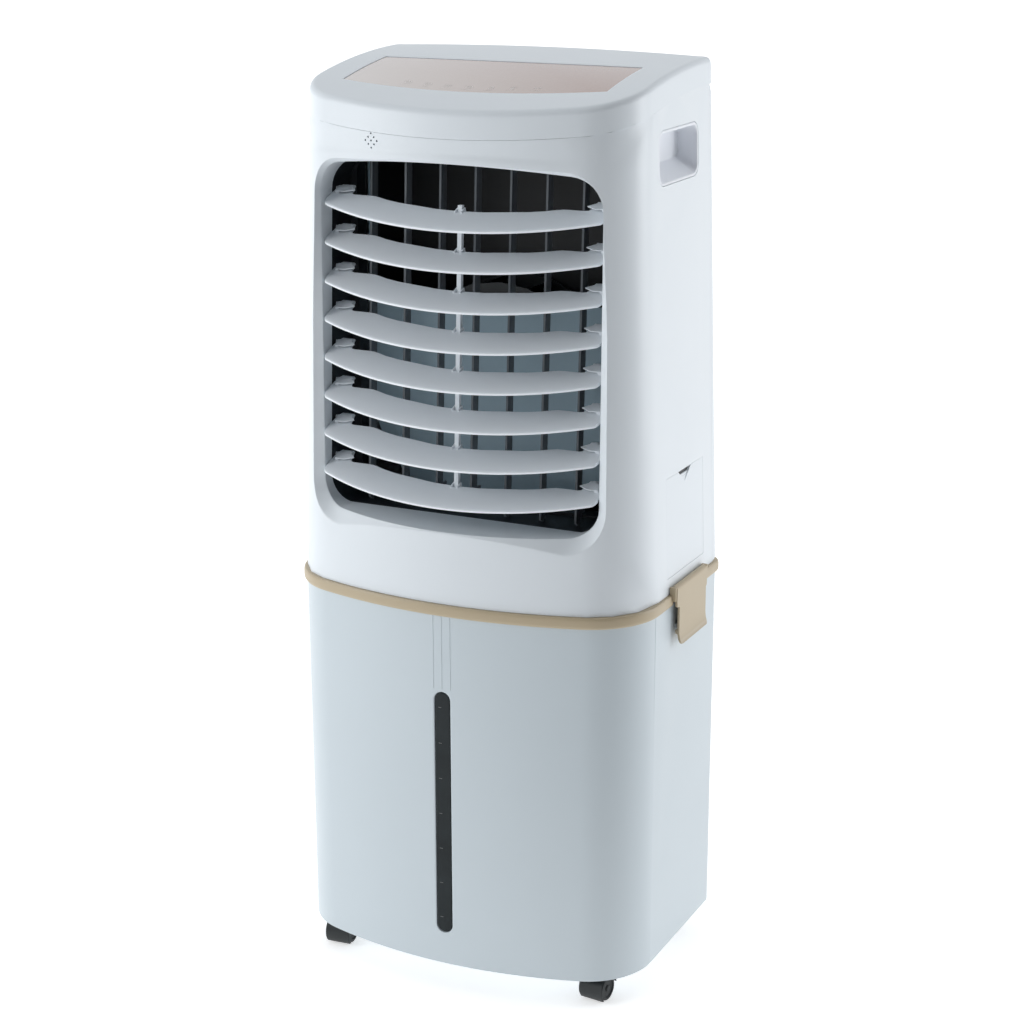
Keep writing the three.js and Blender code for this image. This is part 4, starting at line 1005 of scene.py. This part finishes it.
def fill_door():
    """The filling door: a flat leaf with a V scoop in its top edge and stepped grip ribs."""
    shape = Shape()
    y0, y1, z0, z1 = (DOOR[k] for k in ("y0", "y1", "z0", "z1"))
    middle, notch, apex = (y0 + y1) / 2, 20.0, 620.0
    left, right = middle - notch, middle + notch
    outline = [(y0, z0), (y1, z0), (y1, z1), (right, z1), (middle, apex), (left, z1), (y0, z1)]
    shape.fill(on_side(outline, 1))
    stand_in("fill_door", shape, HEAD_WHITE, "fill_door", thick=WALL, soften=0.5)
    ribs = Shape()
    for i in range(3):
        high = z1 - 5.4 - 3.0 * i
        reach = notch / (z1 - apex) * (high - apex) + 0.4
        step = [(middle - reach, high), (middle, apex - 0.6), (middle + reach, high)]
        ribs.loft([on_side(step, 1, depth) for depth in (1.3 - 0.4 * i, WALL)], caps=True)
    piece("fill_door_ribs", ribs, HEAD_WHITE, "fill_door", slot="white_shell")
    # Painted shadow: a dark sheet behind the V scoop, for the shade in the slit under the shell's edge.
    shadow_sheet = Shape()
    behind = [(left, apex), (right, apex), (right, z1 - 0.4), (left, z1 - 0.4)]
    shadow_sheet.loft([on_side(behind, 1, depth) for depth in (WALL + 0.1, WALL + 0.9)], caps=True)
    piece("fill_door_shadow_sheet", shadow_sheet, DARK, "fill_door", slot="dark_plastic")


# ---------------- head: louvres, vanes, outlet
LOUVRE = {
    "top_z": 928.6, "top_y": -131.5, "pitch": 45.33, "step": 2.214, "tilt": math.radians(20.0),
    "nose": -3.5, "radius": 385.0, "pivot": 76.0, "pin": 44.5,
}
# Rear edge of a blade: distance from the middle and depth from its front edge.
BLADE_BACK = np.array((
    (0.0, 38.6), (3.2, 38.6), (3.6, 41.8), (30.0, 43.0), (62.0, 48.0), (82.0, 51.0), (100.0, 55.5),
    (112.0, 60.0), (119.0, 62.0), (126.0, 62.5), (146.0, 62.5), (150.0, 64.0), (152.5, 71.0),
    (155.0, 83.0), (157.0, 84.5), (172.0, 84.5), (174.5, 80.0), (176.0, 70.0),
))
# Section of a blade as (depth, height); the middle part counts its depth from the rear edge.
BLADE_TOP = ((0.0, -0.6), (0.3, 0.5), (1.2, 1.1), (4.0, 1.25), (12.0, 1.15))
BLADE_REAR = ((-1.2, 1.0), (-0.4, 0.6), (0.0, 0.0), (-0.4, -0.6), (-1.2, -1.0))
BLADE_UNDER = ((12.0, -1.05), (4.6, -1.1), (3.4, -1.6), (2.6, -2.4), (1.2, -2.6), (0.3, -2.0))


def louvre_shape():
    """One blade, flat, with its front edge at the origin: a bowed plate with a rolled nose."""
    shape = Shape()
    right = np.unique(np.concatenate([BLADE_BACK[:, 0], np.linspace(3.6, 171.0, 28), [172.5, 173.8, 175.2]]))
    loops = []
    for u in np.concatenate([-right[:0:-1], right]):
        tip = 7.0 * max(0.0, (abs(u) - 171.0) / 5.0) ** 3
        start = LOUVRE["nose"] + LOUVRE["radius"] - math.sqrt(LOUVRE["radius"] ** 2 - u ** 2) + tip
        rear = np.interp(abs(u), *BLADE_BACK.T)
        parts = ((start, BLADE_TOP), (rear, BLADE_REAR), (start, BLADE_UNDER))
        loops.append([(u, origin + v, h) for origin, part in parts for v, h in part])
    return shape.loft(loops, caps=True)


def louvre_clips(shape):
    """The pivot clips on the two end arms and the tie-bar clip in the middle of the rear edge."""
    pivot, pin = LOUVRE["pivot"], LOUVRE["pin"]
    plate = [(147.0, 66.5), (158.0, 61.0), (171.0, 61.5), (172.5, 74.0), (158.0, 76.0)]
    foot = [(166.5, 61.5), (171.0, 61.6), (172.4, 74.0), (167.5, 74.6)]
    for side in (-1, 1):
        shape.rod("x", 4.6, *sorted((side * 155.0, side * 165.0)), (pivot, 0.0), 24, 0.8)
        shape.rod("x", 2.3, *sorted((side * 155.0, side * 179.4)), (pivot, 0.0), 16)
        for outline, heights in ((plate, (3.4, 4.6)), (foot, (0.5, 3.6))):
            shape.loft([[(side * u, v, h) for u, v in outline] for h in heights], caps=True)
    for side in (-1, 1):
        shape.box(*sorted((side * 3.3, side * 4.9)), pin - 8.0, pin + 2.6, -2.2, 2.6)
    shape.rod("x", 1.5, -4.2, 4.2, (pin, 0.0), 16)
    return shape


def louvres():
    turn = Matrix.Rotation(LOUVRE["tilt"], 4, "X")
    for i in range(8):
        shape = louvre_clips(louvre_shape())
        y, z = LOUVRE["top_y"] - i * LOUVRE["step"], LOUVRE["top_z"] - i * LOUVRE["pitch"]
        bmesh.ops.transform(shape.bm, matrix=Matrix.Translation((0, y, z)) @ turn, verts=shape.bm.verts)
        stand_in(f"louvre_{i + 1}", shape, LOUVRE_LOOK, f"louvre_{i + 1}")
    softened("louvre_tie_bar", LOUVRE_LOOK, 0.7)


def outlet():
    """The duct behind the louvres: wide round the vanes, with a narrower neck at the blower."""
    shape = Shape()
    narrow = Opening(168.0, 202.0, 20.0, 787.5, (34, 36, 8))
    neck = lambda grow, y: upright(np.stack(narrow.xz(grow), -1), y)
    wide = lambda grow, y: upright(np.stack(outlet_xz(grow), -1), y)
    seam, back = outlet_seam(0.3), span("outlet_duct")[1][1]
    shape.loft([seam, wide(0.0, -28.0), neck(0.0, -28.0), neck(0.0, back), neck(WALL, back),
                neck(WALL, -25.0), wide(WALL, -25.0), wide(WALL, seam[:, 1]), seam])
    stand_in("outlet_duct", shape, DARK, "head")
    for i in range(7):
        softened(f"vane_{i + 1}", VANE_LOOK, 0.5)
    for node, look, edge in (("vane_link_bar", VANE_LOOK, 0.5), ("blower_housing", DUCT, 0.8),
                             ("swing_motor", STEEL, 0.5)):
        softened(node, look, edge)


# ---------------- belt and latches
BELT_LOW, BELT_HIGH = span("belt_trim")
BELT_MIDDLE, BELT_TALL = middle_and_half(float(BELT_LOW[2]), 494.0)
BELT_PROUD = 4.0
LATCH = {"y0": -1.0, "y1": 97.0, "x": 231.6, "z": 499.5, "low": 430.5}
# The outer face of a latch, as (height, distance from the middle of the part).
LATCH_FACE = np.array(((430.5, 239.6), (434.0, 238.1), (437.0, 237.1), (440.0, 236.5), (446.0, 236.0)))


def belt_run(shape, stations, proud):
    """A length of the belt: a flat strip, with a rounded outer face where it stands proud."""
    section = [(-8.0, BELT_TALL), (proud - 3.0, BELT_TALL)]
    if proud > 1:
        rounding = ((1.3, 0.35), (0.4, 1.8), (0.0, 4.2))
        section += [(proud - back, BELT_TALL - down) for back, down in rounding]
    section += [(out, -up) for out, up in section[::-1]]
    loops = []
    for s in stations:
        loop = []
        for out, up in section:
            x, y = waist(s, -out)
            loop.append((x, min(y, BELT_HIGH[1]), BELT_MIDDLE + up))
        loops.append(loop)
    shape.loft(loops, caps=True)


def belt():
    shape = Shape()
    notch = [float(s_side(y, HEIGHTS[1])) for y in (LATCH["y0"] - 0.3, LATCH["y1"] + 0.3)]
    front = np.unique(np.concatenate([
        np.linspace(-BOW_END, BOW_END, 41), np.linspace(BOW_END, CORNER_END, 25),
        np.linspace(-CORNER_END, -BOW_END, 25), [notch[0], -notch[0]]]))
    belt_run(shape, front, BELT_PROUD)
    back = np.unique(np.concatenate([[notch[1]], np.linspace(BACK_START, BACK_END, 13), [LOOP_HALF]]))
    for side in (1, -1):
        belt_run(shape, side * back, BELT_PROUD)
        belt_run(shape, side * np.array(notch), 0.4)
        for y in (LATCH["y0"] - 3.8, LATCH["y1"] + 0.3):
            shape.box(*sorted((side * 227.6, side * 235.2)), y, y + 3.5, 486.2, 503.2)
    stand_in("belt_trim", shape, TAN, "head", soften=0.5)
    for place in ("right", "left"):
        softened(f"latch_pin_{place}", STEEL, 0.2)


def latch(side, place):
    """A wide top round the hinge pin, a narrower tongue with rounded corners, and a flared lip."""
    shape = Shape()
    y0, y1, top, low = LATCH["y0"] + 0.2, LATCH["y1"] - 0.2, LATCH["z"], LATCH["low"]
    shoulder, left, right, r = 478.0, y0 + 8.0, y1 - 3.0, 5.0
    outline = [
        (y0, top), (y1, top), (y1, shoulder + 1.5), (y1 - 1.5, shoulder), (right, shoulder - 1.0),
        *arc(right - r, low + r, r, 0, -90, 5), *arc(left + r, low + r, r, -90, -180, 5),
        (left, shoulder - 1.0), (y0 + 2.0, shoulder), (y0, shoulder + 2.0),
    ]
    bm = shape.bm
    shape.face(shape.verts([(0.0, y, z) for y, z in outline]))
    for z in (490.0, 470.0, 455.0, 446.0, 443.0, 440.0, 437.0, 434.0):
        bmesh.ops.bisect_plane(bm, geom=bm.verts[:] + bm.edges[:] + bm.faces[:], plane_co=(0, 0, z),
                               plane_no=(0, 0, 1))
    for v in bm.verts:
        v.co.x = side * np.interp(v.co.z, *LATCH_FACE.T)
    piece(f"latch_{place}_plate", shape, TAN, f"latch_{place}", f"latch_{place}", thick=2.6, soften=0.7)
    inner = Shape()
    inner.spin([(2.0, y0), (3.6, y0), (4.3, y0 + 0.7), (4.3, y1 - 0.7), (3.6, y1), (2.0, y1)],
               (side * LATCH["x"], 0.0, top), "y", 32)
    hook = [(233.6, 447.0), (229.0, 445.7), (229.8, 441.7), (233.4, 439.7)]
    inner.loft([[(side * x, y, z) for x, z in hook] for y in (left + 4.0, right - 4.0)], caps=True)
    piece(f"latch_{place}_hook", inner, TAN, f"latch_{place}", slot="tan_trim")


# ---------------- tank
WINDOW = {"half": 10.5, "low": 75.0, "high": 385.0}
WINDOW_MIDDLE, WINDOW_TALL = middle_and_half(WINDOW["low"], WINDOW["high"])


def tank_front_cover():
    shape = Shape()
    opening = Opening(WINDOW["half"], WINDOW_TALL, WINDOW["half"] - 0.05, WINDOW_MIDDLE, (30, 1, 12))
    patch_half, patch_low, patch_high = 24.0, WINDOW["low"] - 14.0, WINDOW["high"] + 14.0
    end, end_z = opening.border(opening.anchors[:, 0], patch_half, patch_low, lambda _: patch_high)
    edge = ((0.0, 5.0), (0.0, 1.3), (0.25, 0.6), (0.9, 0.15), (1.8, 0.0))
    loops = [opening.on_skin(s_front, grow, depth) for grow, depth in edge]
    start, start_z = opening.xz(1.8)
    for t in (0.25, 0.55, 1.0):
        loops.append(skin(lerp(start, end, t), lerp(start_z, end_z, t)))
    shape.loft(loops)
    # The rest of the skin, in rows and columns that meet those of the patch round the window.
    reach = float(s_side(TANK_SEAM, 250.0))
    outer = np.unique(np.round(np.concatenate([
        np.linspace(patch_half, BOW_END, 15), np.linspace(BOW_END, reach, 22)]), 6))
    inner = np.unique(np.round(end, 6))
    rows = np.unique(np.concatenate([
        np.round(end_z, 6), np.linspace(TANK_LOW, patch_low, 4), np.linspace(patch_high, TANK_HIGH, 8)]))
    low_rows, high_rows = rows[rows <= patch_low + TINY], rows[rows >= patch_high - TINY]
    for column, part in ((outer, rows), (-outer[::-1], rows), (inner, low_rows), (inner, high_rows)):
        shape.loft([skin(column, z) for z in part], closed=False)
    stand_in("tank_front_cover", shape, TANK_WHITE_SHADED, "tank", thick=WALL, soften=SEAM_TUCK)
    ribs = Shape()
    levels = np.linspace(WINDOW["high"] + 4.0, TANK_HIGH - 1.0, 12)
    for centre in (-11.0, 0.0, 11.0):
        x = centre + np.array([-0.75, -0.3, 0.3, 0.75])
        ribs.loft([sunk(skin(s_front(x, z), z), (0.3, -0.45, -0.45, 0.3)) for z in levels], caps=True)
    piece("tank_front_ribs", ribs, TANK_WHITE_SHADED, "tank", slot="white_shell")


def level_window():
    """The pill-shaped lens over the water level, with seven short marks."""
    face = float(span("level_window")[0][1])
    loops = []
    for inset, depth in ((0.5, 4.0), (0.5, 0.9), (0.8, 0.35), (1.5, 0.0), (3.0, 0.0), (7.0, 0.0)):
        half = WINDOW["half"] - inset
        pill = rounded_rect(0, WINDOW_MIDDLE, half, WINDOW_TALL - inset, half - 0.05, 12)
        loops.append(upright(pill, face + depth))
    stand_in("level_window", Shape().loft(loops, caps=True), SMOKE, "tank")
    marks = Shape()
    for i in range(7):
        z = WINDOW_MIDDLE + (i - 3) * 45.0
        marks.box(-5.5, -1.5, face - 0.08, face + 0.3, z - 0.35, z + 0.35)
    piece("level_marks", marks, BLACK, "tank", slot="black_plastic")


def drain():
    """The drain plug: a stem, a ribbed cap and a bar to turn it by."""
    low, high = span("drain_plug")
    x, z, back = (low[0] + high[0]) / 2, (low[2] + high[2]) / 2, high[1]
    steps = 72
    angle = np.linspace(0, 2 * math.pi, steps, endpoint=False)
    around = np.stack([np.cos(angle), np.sin(angle)], -1)
    ribbed = (15.0 - 0.5 * (np.arange(steps) % 4 < 2))[:, None]
    rings = ((8.6, low[1]), (8.6, back - 13.7), (14.0, back - 13.7), (ribbed, back - 12.9),
             (ribbed, back - 7.0), (13.6, back - 6.1), (10.0, back - 5.9), (6.0, back - 5.9))
    shape = Shape()
    shape.loft([upright(around * radius + (x, z), y) for radius, y in rings], caps=True)
    shape.box(x - 2.5, x + 2.5, back - 7.0, back, z - 12.5, z + 12.5)
    stand_in("drain_plug", shape, BLACK, "drain_plug", soften=0.5)


# ---------------- casters
# Where the stems stand; then the wheels' radius, trail, half width over the pair, and half the slot.
CASTER = {"x": 175.0, "front": -100.0, "back": 122.0, "r": 15.0, "trail": 12.0, "half": 15.0, "slot": 4.0}
# Side of the part, row, and the angle each caster is turned to.
CASTERS = {
    "front_right": (1, "front", -8.0), "front_left": (-1, "front", 4.0),
    "back_right": (1, "back", 170.0), "back_left": (-1, "back", -165.0),
}


def caster(place, side, row, yaw):
    """A hooded pair of wheels on a stem, drawn at the origin and turned to its angle."""
    r, trail, half, slot = (CASTER[k] for k in ("r", "trail", "half", "slot"))
    turn = Matrix.Rotation(math.radians(yaw), 4, "Z")
    move = Matrix.Translation((side * CASTER["x"], CASTER[row], 0)) @ turn
    hood = Shape()
    outer, inner, wide = r + 3.2, r + 1.4, half + 1.5
    edge = ((wide, inner), (wide, outer - 1.2), (wide - 1.3, outer))
    rim = [(-x, radius) for x, radius in edge] + [*edge[::-1], (wide - 1.2, inner), (1.2 - wide, inner)]
    sweep = arc(0.0, 0.0, 1.0, 12, 222, 42)
    hood.loft([[(x, trail + radius * c, r + radius * s) for x, radius in rim] for c, s in sweep], caps=True)
    web = arc(trail, r, r + 2.0, 0, 240, 40)
    hood.loft([[(x, *p) for p in web] for x in (0.8 - slot, slot - 0.8)], caps=True)
    hood.rod("z", 7.0, 30.0, 47.5, (0.0, 0.0), 32)
    hood.rod("z", 4.0, 40.0, 68.0, (0.0, 0.0), 24)
    wheels = Shape()
    profile = [(0.001, slot), (r - 1.0, slot), (r, slot + 1.0), (r, half - 1.6), (r - 0.5, half - 0.5),
               (r - 1.6, half), (r - 3.6, half), (r - 4.2, half - 1.2), (4.2, half - 1.6), (3.6, half - 0.4),
               (2.8, half), (0.001, half)]
    for way in (1, -1):
        wheels.spin([(p, way * a) for p, a in profile], (0.0, trail, r), "x", 40, closed=False)
    wheels.rod("x", 3.0, -8.0, 8.0, (trail, r), 24)
    for part, shape, look in (("hood", hood, BLACK), ("wheels", wheels, TYRE)):
        bmesh.ops.transform(shape.bm, matrix=move, verts=shape.bm.verts)
        stand_in(f"caster_{part}_{place}", shape, look, f"caster_{part}_{place}")


# ---------------- pieces inside
def inside():
    """The working parts: most keep their CAD shape with rounded edges, four keep it as it is."""
    for node, look, edge in (
        ("level_float", BLACK, 0.6), ("base_pan", HANDLE_LOOK, 0.5), ("fill_chute", HANDLE_LOOK, 0.6),
        ("cord_gland", BLACK, 0.4), ("fan_motor", STEEL, 0.8), ("blower_wheel", BLACK, 0.3),
        ("water_distributor", HANDLE_LOOK, 0.4), ("pump", BLACK, 0.8), ("pump_strainer", DARK, 0.5),
        ("control_board", BOARD, 0.2),
    ):
        softened(node, look, edge)
    kept = {"cooling_pad": PAD, "pump_hose": RUBBER, "blower_shaft": STEEL, "buzzer": BLACK}
    for node, look in kept.items():
        mesh = frame["nodes"][node].data
        mesh.materials.clear()
        mesh.materials.append(look)


front_shell()
rear_shell()
rear_grille()
top_cover()
cover_lip()
control_panel()
panel_print()
handle_cup(1, "right")
handle_cup(-1, "left")
fill_door()
louvres()
outlet()
belt()
latch(1, "right")
latch(-1, "left")
tank_front_cover()
softened("tank_body", TANK_WHITE_SHADED, 0.8)
level_window()
drain()
for place, (side, row, yaw) in CASTERS.items():
    caster(place, side, row, yaw)
inside()
